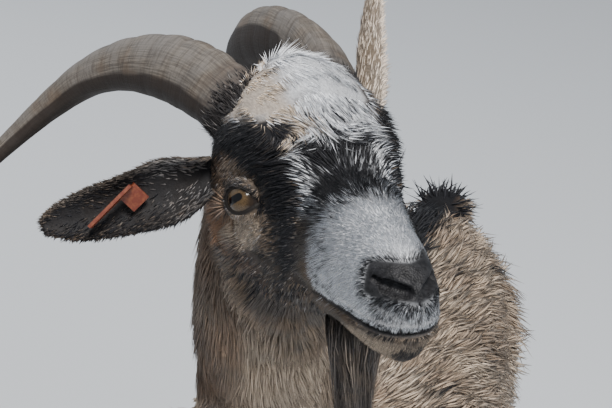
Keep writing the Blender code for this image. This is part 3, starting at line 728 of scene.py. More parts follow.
def bareOf(points):
    # shares of leather on the nose and lips, of lid rims, which are none here, and of painted shade in the
    # nostrils and the mouth's line
    f, l, u = toHead(points).T
    here = np.stack([f, abs(l), u], -1)
    mouth = np.interp(f, *medianMouth)
    pad = nearLine(here[:, 1:], *markPlan["nosePad"], 8.8, 0.16) * ramp(f, 94, 97)
    cleft = bump(l, 0, 1.5) * ramp(f, 104, 108) * ramp(-u, 46, 50) * (1 - ramp(-u, 66, 71)) * 0.8
    leather = np.maximum.reduce([pad, cleft, bump(u, mouth, 2.3) * ramp(f, 50, 60) * 0.95])
    # painted shade: the nostrils' slits and the line between the lips
    hollow = np.maximum(alongNostril(here, (1.9, 0.4), (3.0, 0.4)), bump(u, mouth, 0.95) * ramp(f, 46, 54))
    return np.stack([np.clip(leather, 0, 1), 0 * f, hollow], -1)


lidPlan = {
    # the almond's half sizes in degrees about the gaze, towards the nose and the back, then above and below
    "stations": 96, "half": 43, "tear": 6, "corner": 11, "cornerSpread": 0.17, "above": 24.5, "below": 27.5,
    # the lid's section: outwards from the opening's edge, and over the eyeball, in mm
    "section": [
        (-1.3, -2.6), (-0.8, -0.5), (-0.15, 0.20), (0.15, 0.75), (0.7, 1.15), (1.6, 1.35), (2.7, 1.20),
        (3.9, 1.45), (5.6, 1.35), (7.6, 0.60), (9.8, -0.9), (12.0, -3.2), (13.0, -6.0), (8.0, -7.5),
        (2.0, -6.5),
    ],
}


def lidShell(sign):
    # a ring round the eye's opening: an almond in degrees about the gaze, swept by the section of a lid
    centre, axis, fore, up = eyeAxes(sign)
    turn = np.linspace(0, fullTurn, lidPlan["stations"], endpoint=False)
    c, s = np.cos(turn), np.sin(turn)
    corner = np.exp(-((np.minimum(turn, fullTurn - turn) / lidPlan["cornerSpread"]) ** 2))
    x = lidPlan["half"] * c + lidPlan["tear"] * np.clip(c, 0, 1) ** 3 + lidPlan["corner"] * corner
    y = np.where(s > 0, lidPlan["above"], lidPlan["below"]) * s * (1 - 0.30 * np.clip(c, 0, 1) ** 2)
    edge = np.radians(np.stack([x, y], -1))
    run = unit(np.roll(edge, -1, 0) - np.roll(edge, 1, 0))
    normal = np.stack([run[:, 1], -run[:, 0]], -1)
    outwards, height = np.array(lidPlan["section"]).T
    across = edge[:, None, :] + normal[:, None, :] * (outwards / eyePlan["radius"])[None, :, None]
    angle = np.linalg.norm(across, axis=-1, keepdims=True)
    heading = across[..., :1] * fore + across[..., 1:] * up
    direction = np.cos(angle) * axis + np.sin(angle) * heading / np.maximum(angle, 1e-6)
    upper = np.clip(s, 0, 1)[:, None]
    folds = upper * (0.9 * bump(outwards, 5.5, 3.0) - 0.55 * bump(outwards, 2.7, 0.8))[None, :]
    radius = eyePlan["radius"] + height[None, :] + folds
    points = fromHead(centre + direction * radius[..., None]).reshape(-1, 3)
    rim = np.tile(1 - ramp(outwards, 1.8, 3.4), len(turn))
    return points, tubeCorners(len(turn), len(outwards), closed=True), rim


earPlan = {
    "length": 106.0, "width": 42.0, "wall": 2.4, "curl": 10.0, "thinning": 0.35,
    # breadth as a share of the width, and half the section's arc in degrees, at stations from root to tip
    "stations": [0, 0.25, 0.5, 0.75, 0.92, 1.0],
    "breadth": {"right": [0.89, 1.08, 0.98, 0.74, 0.42, 0.12], "left": [0.70, 0.96, 0.96, 0.74, 0.42, 0.12]},
    "roll": {"right": [109, 64, 62, 52, 48, 46], "left": [150, 100, 66, 52, 48, 46]},
    # root in mm from between the eyes, the ways to the tip and out of the opening, the side and the bow
    "right": ((-41.2, -51.7, 11.4), (-0.147, -0.94, -0.184), (1.30, -0.542, -0.074), -1, 8.3),
    "left": ((-57, 50, 23), (-0.27, 0.49, 0.95), (0.36, 1.55, -0.52), 1, 18.0),
}


def earPoint(name, s, v, depth):
    # a leaf whose section is an arc: s from root to tip, v from edge to edge, depth out of its inner face
    root, tip, opening, sign, sag = earPlan[name]
    along, face = unit(np.array(tip)), np.array(opening)
    face = unit(face - along * (face @ along))
    across = np.cross(along, face)
    s, v, depth = np.broadcast_arrays(s, v, depth)
    shape = s.shape
    s, v, depth = s.ravel(), v.ravel(), depth.ravel()
    angle = np.radians(throughKnots(earPlan["stations"], earPlan["roll"][name], s))
    radius = throughKnots(earPlan["stations"], earPlan["breadth"][name], s) * earPlan["width"] / 2 / angle
    reach = radius - depth
    bow = sag * sign * s * (1 - s)
    spine = np.array(root) + along * (s * earPlan["length"])[:, None]
    spine = spine - face * (earPlan["curl"] * s * s)[:, None]
    places = spine + across * (bow + reach * np.sin(angle * v))[:, None]
    places = places + face * (radius * 0.6 - reach * np.cos(angle * v))[:, None]
    return fromHead(places).reshape(*shape, 3)


def earShell(name):
    # the leaf's inner face, then its outer one the other way round, as one loop at each station
    s, v = np.linspace(0, 0.985, 56), np.linspace(-1, 1, 26)
    edge = 1 - 0.7 * np.clip(abs(v) - 0.75, 0, 1) / 0.25
    wall = earPlan["wall"] * (1 - earPlan["thinning"] * s)[:, None] * edge[None, :] / 2
    front = earPoint(name, s[:, None], v[None, :], wall)
    back = earPoint(name, s[:, None], v[None, ::-1], -wall[:, ::-1])
    points = np.concatenate([front, back], 1)
    inner = np.concatenate([np.ones_like(front[..., 0]), np.zeros_like(back[..., 0])], 1)
    return points.reshape(-1, 3), tubeCorners(len(s), points.shape[1]), inner.ravel()


def mouldedBody():
    # the flesh made one closed skin, finer on the head and finest at nose and mouth, then sunk and sculpted
    body = gathered("skin", skinPlan["flesh"] + ["eye_left", "eye_right"])
    clay = gathered("clay", ["head", "lower_jaw", "neck", "eye_left", "eye_right"])
    remeshed(clay, skinPlan["headVoxel"], skinPlan["headSmoothing"])
    remeshed(body, skinPlan["voxel"], skinPlan["smoothing"])
    refined(body, lambda centres: zones(centres)[0] > 0.5)
    group = body.vertex_groups.new(name="head")
    share = zones(meshArrays(body.data)[0])[0]
    for level in (0.25, 0.5, 0.75, 1.0):
        group.add(np.flatnonzero(abs(share - level) <= 0.125).tolist(), level, "REPLACE")
    wrap = body.modifiers.new("wrap", "SHRINKWRAP")
    wrap.target, wrap.vertex_group = clay, "head"
    soften(body, 2, "head")

    def busy(centres):
        f, u = toHead(centres)[:, [0, 2]].T
        nose, mouth = (f > 84) & (u < -20), (f > 40) & (abs(u - np.interp(f, *medianMouth)) < 8)
        return nose | mouth

    refined(body, busy)
    soften(body, 2, "head")
    points, normals, corners = meshArrays(body.data)
    points = points - normals * depthOf(points)[:, None] * mm
    body.data.vertices.foreach_set("co", points.astype(np.float32).ravel())
    body.data.update()
    points, normals, corners = meshArrays(body.data)
    for made in (body, clay):
        bpy.data.objects.remove(made)
    return sculpted(points, normals), corners


def makeSkin():
    # the body, the lids and the ears are closed shells of one piece, which meet inside each other
    points, corners = mouldedBody()
    shells = [(points, [corners], bareOf(points), markings(points, 0.0))]
    for sign in (1, -1):
        points, corners, rim = lidShell(sign)
        shells.append((points, corners, np.stack([0 * rim, rim, 0 * rim], -1), markings(points, 0.0)))
    for name in ("left", "right"):
        points, corners, inner = earShell(name)
        none = 0 * inner
        dark = (0.55 + 0.35 * inner) if name == "right" else 0.2 + none
        marks = np.stack([none, dark, none, 0.5 - 0.5 * dark], -1)
        shells.append((points, corners, np.stack([0.35 * inner, none, none], -1), marks))
    starts = np.cumsum([0] + [len(shell[0]) for shell in shells])
    corners = []
    for start, shell in zip(starts, shells):
        corners += [c + start for c in outwardFacing(shell[0] - shell[0].mean(0), shell[1])]
    points, bare, marks = (np.concatenate([shell[k] for shell in shells]) for k in (0, 2, 3))
    made = newPiece("skin", points, corners, skinFinish())
    tell(made, "bare", "FLOAT_VECTOR", bare)
    tell(made, "marks", "FLOAT_COLOR", marks)
    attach(made, "root")
    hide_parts(*skinPlan["flesh"], "ear_left", "ear_right")
    return made, starts[3]


skin, earStart = makeSkin()
print("skin made:", len(skin.data.polygons), "faces")


eyeColours = {
    "amber": (0.022, 0.013, 0.006), "paleAmber": (0.088, 0.056, 0.025), "haze": (0.070, 0.056, 0.042),
    "edge": (0.018, 0.011, 0.006), "pupil": (0.0015, 0.0015, 0.002), "ball": (0.012, 0.008, 0.006),
}


def eyeFinish():
    # iris holds millimetres fore and up of the gaze: a slit pupil, an amber ring with fibres, a dark edge
    finish = Finish("eye", Roughness=0.16, Coat_Weight=0.30, Coat_Roughness=0.02, Specular_IOR_Level=0.25)
    x, y, _ = finish.split(finish.read("iris"))
    far = (x * x + y * y) ** 0.5
    tilt = np.radians(eyePlan["pupilTilt"])
    cosine, sine = float(np.cos(tilt)), float(np.sin(tilt))
    fore, up = x - eyePlan["pupil"][0], y - eyePlan["pupil"][1]
    longways, crossways = fore * cosine + up * sine, up * cosine - fore * sine
    length = (longways * longways) ** 0.5
    beyond = finish.node("Math", {"operation": "MAXIMUM"}, {0: length - eyePlan["pupilHalf"], 1: 0.0})
    slit = 1 - ((beyond * beyond + crossways * crossways) ** 0.5).between(2.05, 2.4)
    turn = finish.node("Math", {"operation": "ARCTAN2"}, {0: y, 1: x})
    fibres = finish.noise(finish.join(turn * 5.0, far * 0.35, 0.0), 2.4, 4.0, 0.6)
    colour = finish.blend(eyeColours["amber"], eyeColours["paleAmber"], fibres.between(0.30, 0.68))
    # the haze is a painted reflection that greys the iris's upper part
    return finish.feed(Base_Color=finish.layers(
        eyeColours, colour, haze=(y - x * 0.5).between(1.5, 6.5) * 0.6,
        edge=far.between(5.6, 8.2), pupil=slit, ball=far.between(8.9, 9.6),
    ))


def makeEyes():
    # a ball about the gaze: lean from its pole, turn round it, and a dome swells the middle of its front
    finish = eyeFinish()
    rings, sides = 60, 56
    lean = np.radians(np.linspace(1.5, 178.5, rings))[:, None, None]
    turn = np.linspace(0, fullTurn, sides, endpoint=False)[None, :, None]
    dome = eyePlan["cornea"] * np.clip(1 - (np.degrees(lean) / eyePlan["corneaEdge"]) ** 2, 0, 1) ** 1.5
    radius = eyePlan["radius"] + dome
    for name, sign in (("eyeLeft", 1), ("eyeRight", -1)):
        centre, axis, fore, up = eyeAxes(sign)
        places = radius * (np.cos(lean) * axis + np.sin(lean) * (np.cos(turn) * fore + np.sin(turn) * up))
        iris = radius * np.sin(lean) * np.concatenate([np.cos(turn), np.sin(turn), 0 * turn], -1)
        iris[..., :2] = np.where(np.cos(lean) > 0, iris[..., :2], eyePlan["radius"])
        points = places.reshape(-1, 3)
        corners = outwardFacing(points, tubeCorners(rings, sides))
        made = newPiece(name, fromHead(points + centre), corners, finish)
        tell(made, "iris", "FLOAT_VECTOR", iris)
        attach(made, "root")
        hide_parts("eye_left" if sign > 0 else "eye_right")


makeEyes()

hornPlan = {
    # out, back and up of the point between the eyes, half breadth and thickness in mm, the section's twist
    "right": (-1, [
        (28, 34, 34, 21, 17, -30), (37, 55, 51.5, 22, 16.5, -28), (46, 80, 64, 22.5, 15.5, -24),
        (56, 110, 72, 21, 15, -16), (70, 145, 75, 17, 13, -4), (88, 175, 69.5, 13, 12, 8),
        (108, 195, 56, 10.2, 9, 20), (130, 208, 39, 7.9, 6.8, 28), (152, 215, 21.5, 6, 5, 34),
        (172, 217, 3.5, 4, 3.7, 38), (189, 216, -14, 1.4, 1.4, 40),
    ]),
    "left": (1, [
        (28, 34, 34, 21, 17, -24), (35, 55, 54, 22, 17, -20), (36, 82, 70, 22, 16, -14),
        (33, 114, 80, 21.5, 15.5, -8), (29, 148, 83, 20.5, 15, 0), (28, 181, 77, 19, 14, 6),
        (32, 209, 61, 16.5, 12.5, 12), (41, 231, 40, 13.5, 10.5, 18), (52, 247, 15, 10, 8, 24),
        (65, 257, -10, 6, 5, 30), (79, 262, -34, 1.4, 1.4, 34),
    ]),
    "rings": 170, "sides": 44, "ridges": 15, "shrink": 0.975, "keel": 0.16,
}
hornColours = {
    "fibre": (0.052, 0.044, 0.037), "paleFibre": (0.158, 0.138, 0.117), "grey": (0.128, 0.118, 0.110),
    "brown": (0.105, 0.068, 0.042), "ring": (0.040, 0.031, 0.025), "groove": (0.045, 0.034, 0.027),
    "root": (0.022, 0.024, 0.030), "shade": (0.016, 0.011, 0.009),
}


def hornFinish():
    # grow holds the share of the length, the share round and the height of the ridge there
    finish = Finish("horn", Specular_IOR_Level=0.22)
    along, around, ridge = finish.split(finish.read("grow"))
    turn = around * fullTurn
    cosine = finish.node("Math", {"operation": "COSINE"}, {0: turn})
    sine = finish.node("Math", {"operation": "SINE"}, {0: turn})
    fibres = finish.noise(finish.join(along * 7.0, cosine * 9.0, sine * 9.0), 2.2, 6.0, 0.62)
    rings = finish.noise(finish.join(along * 190.0, cosine * 1.2, sine * 1.2), 1.0, 4.0, 0.6)
    blotch = finish.noise(finish.place(), 38.0, 3.0)
    # dark holds the horn's darker lower side, partly its own colour and partly painted shade
    dark = finish.split(finish.read("dark"))[0]
    colour = finish.blend(hornColours["fibre"], hornColours["paleFibre"], fibres.between(0.30, 0.66))
    colour = finish.layers(
        hornColours, colour,
        grey=blotch.between(0.45, 0.65) * 0.6, brown=(1 - blotch.between(0.34, 0.50)) * 0.45,
        # painted shade darkens the grooves between the ridges
        ring=rings.between(0.46, 0.66) * 0.45, groove=(1 - ridge.between(0.05, 0.55)) * 0.30,
        root=(1 - along.between(0.02, 0.15)) * 0.85,
        shade=(dark + (blotch - 0.5) * 0.5).between(0.30, 0.70) * 0.90,
    )
    finish.relief(fibres * 0.6 + rings * 0.5 + ridge * 0.1, 0.0008, 0.8)
    return finish.feed(Base_Color=colour, Roughness=0.50 + 0.25 * fibres)


def hornFrame(name, at):
    # the centre line at some count of knots from the root, the section's half sizes and the ways they point
    sign, knots = hornPlan[name]
    knots = np.array(knots, float)
    before, row, after = (throughKnots(range(len(knots)), knots, at + step) for step in (-0.01, 0.0, 0.01))
    centre = np.stack([-row[:, 1], sign * row[:, 0], row[:, 2]], -1)
    tangent = unit((after - before)[:, :3] * np.array((sign, -1, 1)))[:, [1, 0, 2]]
    side = np.array((0, sign, 0))
    out = unit(side - tangent * (tangent @ side)[:, None])
    top = np.cross(tangent, out) * -sign
    twist = np.radians(row[:, 5])[:, None]
    keelWay = top * np.cos(twist) + out * np.sin(twist)
    sideWay = out * np.cos(twist) - top * np.sin(twist)
    return centre, row, keelWay, sideWay


def makeHorns():
    # an oval with a keel carried along the centre line, swollen by ridges that fade to the tip
    finish = hornFinish()
    rings, sides = hornPlan["rings"], hornPlan["sides"]
    turn = np.linspace(0, fullTurn, sides, endpoint=False)[None, :]
    for name in ("left", "right"):
        at = np.linspace(0, len(hornPlan[name][1]) - 1.02, rings)
        centres, row, keelWay, sideWay = hornFrame(name, at)
        share = (at / at[-1])[:, None]
        phase = hornPlan["ridges"] * share * (1.15 - 0.15 * share) + 0.05 * np.sin(share * 31)
        ridge = abs(np.sin(np.pi * phase)) ** 0.6 * (0.75 + 0.25 * np.cos(turn))
        ripple = 0.008 * np.cos(turn * 11 + share * 9)
        swell = hornPlan["shrink"] * (1 + (0.055 * ridge - 0.030) * (1 - share) ** 0.6 + ripple)
        keel = np.cos(turn) * row[:, 3:4] * (1 + hornPlan["keel"] * np.cos(turn) ** 3) * swell
        flank = np.sin(turn) * row[:, 4:5] * swell
        places = centres[:, None] + keel[..., None] * keelWay[:, None] + flank[..., None] * sideWay[:, None]
        points = places.reshape(-1, 3)
        corners = outwardFacing(points - points.mean(0), tubeCorners(rings, sides))
        made = newPiece("horn" + name.capitalize(), fromHead(points), corners, finish)
        grow = np.stack(np.broadcast_arrays(share, turn / fullTurn, ridge), -1)
        tell(made, "grow", "FLOAT_VECTOR", grow)
        # the darker lower side is partly the horn's own colour and partly painted shade; on the left horn it
        # is the dark oval of the inner face where the horn bends away
        darkHornAndShade = ramp(0.15 - np.cos(turn) + 0 * ridge, 0.0, 0.5) * 0.8
        if name == "left":
            darkHornAndShade = ramp(-places[..., 0], 86, 102) * (1 - ramp(np.cos(turn), 0.40, 0.85))
        tell(made, "dark", "FLOAT_VECTOR", np.repeat(darkHornAndShade[..., None], 3, -1))
        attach(made, "root")
        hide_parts("horn_" + name)


makeHorns()
print("eyes and horns made")


# coat: thin closed tufts rooted in the skin, each on a patch of a chart of the skin's own shape
def roundShare(across, upwards):
    # the share of a full turn about an axis
    return np.arctan2(across, upwards) / fullTurn + 0.5


def headChart(points):
    f, l, u = toHead(points).T
    return np.stack([roundShare(l, u + 22), (f + 85) / 215], -1)


def neckChart(points):
    x, y, z = points.T
    return np.stack([roundShare(x - medianX, -y - 0.20), (z - 0.40) / 0.38], -1)


def trunkChart(points):
    x, y, z = points.T
    return np.stack([roundShare(x - medianX, z - 0.38), (y + 0.33) / 0.74], -1)


def legChart(points):
    x, y, z = points.T
    left, hind = x > medianX, y > limbPlan["between"]
    across = x - (medianX + np.where(left, limbPlan["out"], -limbPlan["out"]))
    turned = roundShare(across, y - np.where(hind, limbPlan["hind"], limbPlan["front"]))
    return np.stack([(left + 2 * hind + 0.05 + 0.9 * turned) / 4, z / 0.46], -1)    # four strips side by side


def scatter(surface, wanted, count):
    # places spread by area times the wanted share, with the smooth normal there
    points, normals, corners = surface
    a, b, c = (points[corners[:, k]] for k in range(3))
    weight = np.linalg.norm(np.cross(b - a, c - a), axis=1) * wanted((a + b + c) / 3)
    total = np.cumsum(weight)
    pick = np.searchsorted(total, (np.arange(count) + rng.random(count)) / count * total[-1])
    pick = np.minimum(pick, len(corners) - 1)
    r, s = np.sqrt(rng.random(count))[:, None], rng.random(count)[:, None]
    share = [1 - r, r * (1 - s), r * s]
    place = sum(w * points[corners[pick, k]] for k, w in enumerate(share))
    normal = unit(sum(w * normals[corners[pick, k]] for k, w in enumerate(share)))
    return place, normal


# by the count of rings: where each stands along the tuft, and its share of the width
steps = {1: ([0.0], [1.0]), 2: ([0.0, 0.46], [0.80, 1.0]), 3: ([0.0, 0.32, 0.68], [0.8, 1.0, 0.72])}


def spikes(spine, outward, width, rings):
    # a flat triangle carried along each spine, which ends in a point: spine is (tufts, rings + 1, 3)
    count = len(spine)
    taper = np.array(steps[rings][1])[None, :, None]
    way = unit(spine[:, 1:] - spine[:, :-1])
    out = outward[:, None, :]
    across = unit(np.cross(way, out))
    half = np.broadcast_to(width, count)[:, None, None] / 2 * taper
    centre = spine[:, :-1]
    triple = np.stack([centre + across * half, centre - out * half * 0.55, centre - across * half], 2)
    points = np.concatenate([triple.reshape(count, -1, 3), spine[:, -1:]], 1)
    longAt = np.append(np.repeat(steps[rings][0], 3), 1.0)
    sideAt = np.append(np.tile((1.0, 0.0, -1.0), rings), 0.0)
    return points, np.broadcast_to(np.stack([longAt, sideAt], -1), (count, len(longAt), 2))


def tufts(roots, outward, lie, length, width, rise, fall, pull, rings):
    # spines of the form root + lie*t + outward*(rise*t - fall*t*t) + pull*t*t
    at = np.array([*steps[rings][0], 1.0])[None, :, None]
    length, rise = length[:, None, None], rise[:, None, None]
    out = outward[:, None, :]
    base = roots[:, None, :] - out * np.minimum(0.0015, length * 0.08)
    spine = base + lie[:, None, :] * length * at + out * length * (rise * at - fall * at * at)
    return spikes(spine + pull[:, None, :] * at * at, outward, width, rings)


def tuftCorners(rings):
    # triangles of one spike: sides, tip and root
    found = [(2, 1, 0)]
    for k in range(3):
        n = (k + 1) % 3
        for j in range(rings - 1):
            a, b, c, d = j * 3 + k, j * 3 + n, j * 3 + 3 + n, j * 3 + 3 + k
            found += [(a, b, c), (a, c, d)]
        found.append(((rings - 1) * 3 + k, (rings - 1) * 3 + n, rings * 3))
    return np.array(found)


def oneColour(marks, amount):
    # hairs differ: shares of white and black are pushed to 0 or 1 tuft by tuft, as a share's own chance says
    chance = (rng.random((len(marks), 2)) - 0.5) * amount
    edge = 0.5 - 0.36 * amount
    pushed = ramp(marks[:, :2] + chance, edge, 1 - edge)
    return np.concatenate([pushed, marks[:, 2:]], 1)


def makeCoat(name, finish, chart, rings, points, local, roots, marks, replaced=()):
    # one piece of a region's tufts, where each one's patch of the map stands at its root's place in the chart
    count, each = points.shape[:2]
    corners = (tuftCorners(rings)[None] + (np.arange(count) * each)[:, None, None]).reshape(-1, 3)
    made = newPiece(name, points.reshape(-1, 3), [corners], finish)
    chance = np.broadcast_to(rng.random(count)[:, None, None], (count, each, 1))
    tell(made, "strand", "FLOAT_VECTOR", np.concatenate([local, chance], -1))
    tell(made, "marks", "FLOAT_COLOR", np.broadcast_to(marks[:, None, :], (count, each, 4)))
    place = np.clip(chart(roots), 0.004, 0.996)[:, None, :]
    spread = np.stack([local[..., 1] * 0.0014, (local[..., 0] - 0.5) * 0.0028], -1)
    uv = (place + spread).reshape(-1, 2)
    layer = made.data.uv_layers.new(name="OFBake")
    layer.data.foreach_set("uv", uv[corners.ravel()].astype(np.float32).ravel())
    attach(made, "root")
    if replaced:
        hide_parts(*replaced)
    print(name, len(corners), "triangles")


def varied(count, spread):
    # numbers within the spread about 1
    return 1 + spread * (rng.random(count) * 2 - 1)


coatPlan = {
    # tufts, rings each, length and width in mm, rise, fall, locks' gather in mm, contrast, chart, slot
    "coatMuzzle": (34000, 1, 6.6, 0.58, 0.16, 0.0, 0.0, 0.6, headChart, "face_coat"),
    "coatFace": (19500, 2, 10.5, 0.70, 0.23, 0.14, 1.0, 0.85, headChart, "face_coat"),
    "coatCheek": (16500, 2, 15.0, 0.84, 0.27, 0.16, 1.6, 0.5, headChart, "face_coat"),
    "coatPoll": (11800, 2, 15.0, 0.66, 0.13, 0.13, 1.8, 0.85, headChart, "face_coat"),
    "coatThroat": (17500, 2, 25.0, 0.98, 0.24, 0.17, 3.2, None, neckChart, "body_coat"),
    "coatNape": (7800, 2, 30.0, 1.25, 0.30, 0.20, 5.0, 0.5, neckChart, "body_coat"),
    "coatFore": (16800, 2, 46.0, 1.40, 0.27, 0.20, 11.0, 0.5, trunkChart, "body_coat"),
    "coatRear": (11000, 2, 48.0, 1.65, 0.27, 0.20, 11.0, 0.5, trunkChart, "body_coat"),
    "coatThigh": (9800, 2, 26.0, 1.5, 0.26, 0.16, 5.0, 0.5, legChart, "body_coat"),
    "coatLegs": (25000, 1, 12.0, 1.0, 0.12, 0.0, 2.0, 0.5, legChart, "dark_coat"),
}


def fromEyes(h):
    # millimetres from the middle of the nearer eye
    return np.minimum(*[np.linalg.norm(h - eyeAxes(sign)[0], axis=1) for sign in (1, -1)])


def regionShare(name, points):
    # where each piece of the coat grows, denser round the eyes and thinner on the leather
    head, neck, leg, h = zones(points)
    f, u = h[:, [0, 2]].T
    onHead, onNeck, onLeg = head > 0.5, neck >= 0.5, leg >= 0.5
    bald = np.clip(bareOf(points)[:, 0] * 2.4 - 1.1, 0, 1)
    muzzle = onHead & (f > 44)
    poll = onHead & (u > 36) & ~muzzle
    fore = onHead & ~muzzle & ~poll & ((f > -12) | (u > 6))
    trunk = ~onHead & ~onLeg & ~onNeck
    low, nape, rear = points[:, 2] < 0.22, points[:, 1] > -0.20, points[:, 1] >= limbPlan["between"]
    fine = 1 + 1.6 * (1 - ramp(fromEyes(h), 17, 32))
    return {
        "coatMuzzle": muzzle * (1 - bald), "coatPoll": poll * 1.0, "coatFace": fore * fine,
        "coatCheek": (onHead & ~muzzle & ~poll & ~fore) * fine,
        "coatThroat": (~onHead & onNeck & ~nape) * 1.0, "coatNape": ~onHead & onNeck & nape,
        "coatFore": trunk & ~rear, "coatRear": trunk & rear,
        "coatThigh": ~onHead & onLeg & ~low, "coatLegs": ~onHead & low & onLeg,
    }[name]


def lengthShare(name, roots, h):
    # hair shortens towards the nose, the lips, the eyes, the poll's right side and the tail's root
    f, l, u = h.T
    if name == "coatMuzzle":
        lips = bump(u - np.interp(f, *medianMouth), 4, 5)
        return (0.75 + 0.45 * ramp(-f, -95, -50)) * (1 - 0.5 * lips)
    if name == "coatFace":
        return (0.48 + 0.52 * ramp(fromEyes(h), 17, 30)) * (0.85 + 0.3 * ramp(u, 5, 30))
    if name == "coatPoll":
        return 1 - 0.35 * ramp(-l, 8, 22)
    if name in ("coatFore", "coatRear"):
        return 1 - 0.35 * ramp(roots[:, 1], 0.29, 0.32)
    return 1


def clearOfEyes(points):
    # no hair starts on the bare lid margin or on the eyeball
    keep = np.ones(len(points), bool)
    h = toHead(points)
    for sign in (1, -1):
        centre, axis, fore, up = eyeAxes(sign)
        way = unit(h - centre)
        x, y = way @ fore, way @ up
        opening = (x / np.where(x > 0, 0.86, 0.72)) ** 2 + (y / 0.52) ** 2
        keep &= ~((np.linalg.norm(h - centre, axis=1) < 17.5) & (way @ axis > 0.15) & (opening < 1))
    return keep


def furSurface():
    # the skin's points and normals, and the triangles that grow the coat, which the ears' aren't
    points, normals, corners = meshArrays(skin.data)
    return points, normals, corners[corners[:, 0] < earStart]


def growCoat():
    finish = coatFinish()
    surface = furSurface()
    for name, plan in coatPlan.items():
        count, rings, length, width, rise, fall, gather, contrast, chart, slotName = plan
        roots, outward = scatter(surface, lambda places: regionShare(name, places), count)
        keep = clearOfEyes(roots)
        roots, outward = roots[keep], outward[keep]
        count = len(roots)
        lie = layOf(roots, outward)
        marks = markings(roots)
        if contrast:
            marks = oneColour(marks, contrast)
        h = toHead(roots)
        f, u = h[:, [0, 2]].T
        longer = varied(count, 0.28) * lengthShare(name, roots, h)
        # neighbours lean together into locks
        pull = np.stack([drift(roots, gather * 4.5 * mm + 0.006, 31 + k) for k in range(3)], -1)
        pull = pull - outward * (pull * outward).sum(-1, keepdims=True)
        pull = pull * gather * mm * varied(count, 0.5)[:, None]
        # and stand up more in the hollow before the eye and behind the jaw
        hollow = np.maximum(bump(f, 24, 20) * ramp(u, -12, 0), ramp(-u, 48, 62) * ramp(-f, -60, -30))
        hollow = hollow * zones(roots)[0]
        points, local = tufts(
            roots, outward, lie, length * mm * longer, width * mm * varied(count, 0.3),
            (rise + 0.26 * hollow) * varied(count, 0.35), fall, pull, rings,
        )
        makeCoat(name, finish, chart, rings, points, local, roots, marks)
    return finish


hornHairPlan = {"tufts": 1700, "knots": 0.80, "length": 9.5, "width": 0.62, "sunk": 0.985, "pale": 0.10}


def growHornHair():
    # short dark hair climbs the root of each horn and hides where it leaves the skin
    spines, ways, tones = [], [], []
    count = hornHairPlan["tufts"]
    for name in ("left", "right"):
        at, turn = rng.random(count) ** 1.3 * hornHairPlan["knots"], rng.random(count) * fullTurn
        places = []
        for ahead in (0.0, 0.2):
            centre, row, keelWay, sideWay = hornFrame(name, at + ahead)
            keel = np.cos(turn) * row[:, 3] * (1 + hornPlan["keel"] * np.cos(turn) ** 3)
            reach = keelWay * keel[:, None] + sideWay * (np.sin(turn) * row[:, 4])[:, None]
            places.append(centre + hornHairPlan["sunk"] * reach)
            out = unit(reach) if ahead == 0.0 else out
        way = unit(places[1] - places[0] + rng.normal(size=(count, 3)) * 1.2)
        long = hornHairPlan["length"] * varied(count, 0.35)[:, None] * (1 - 0.5 * at[:, None])
        stages = (0.0, -0.03), (0.46, 0.04), (1.0, 0.01)
        spine = [places[0] + way * long * along + out * long * off for along, off in stages]
        spines.append(fromHead(np.stack(spine, 1)))
        ways.append(alongHead(out))
        pale = (rng.random(count) < hornHairPlan["pale"]) * 0.3
        tones.append(np.stack([pale, 0.92 - pale, 0 * pale, pale], -1))
    spine, out = np.concatenate(spines), np.concatenate(ways)
    points, local = spikes(spine, out, hornHairPlan["width"] * mm, 2)
    makeCoat("coatHorns", coat, headChart, 2, points, local, spine[:, 0], np.concatenate(tones))


coat = growCoat()
growHornHair()


earHairPlan = {
    # tufts, length in mm, lean to the leaf's edges, and lift
    -1: (2300, 7.5, 0.25, 0.14),    # the back: short and flat
    1: (2100, 7.0, 0.55, 0.26),     # the inside: from the middle to the edges
    0: (850, 6.5, 1.1, 0.10),       # a fringe along both edges
    "width": 0.75,
}


def earTone(name, face, s, v):
    # shares of white, black, warm and cream: the right ear is dark, the left one pale
    none = 0 * v
    if name == "left":
        light = ramp(-v, -0.25, 0.25)
        return np.stack([0.15 * light, 0.18 * (1 - light), 0.50 * (1 - light), 0.95 * light], -1)
    # painted light: the right ear's upper edge paler, where it catches the light
    upper = ramp(v, 0.55, 0.95)
    if face == -1:
        return np.stack([none, 0.60 + none, 0.15 + none, 0.10 + 0.1 * upper], -1)
    inner = (1 - ramp(s, 0.15, 0.42)) * (face == 1)
    white, black = 0.05 * upper + 0.30 * inner, 0.95 - 0.35 * upper - 0.42 * inner
    return np.stack([white, black, 0.05 + none, 0.20 * upper], -1)


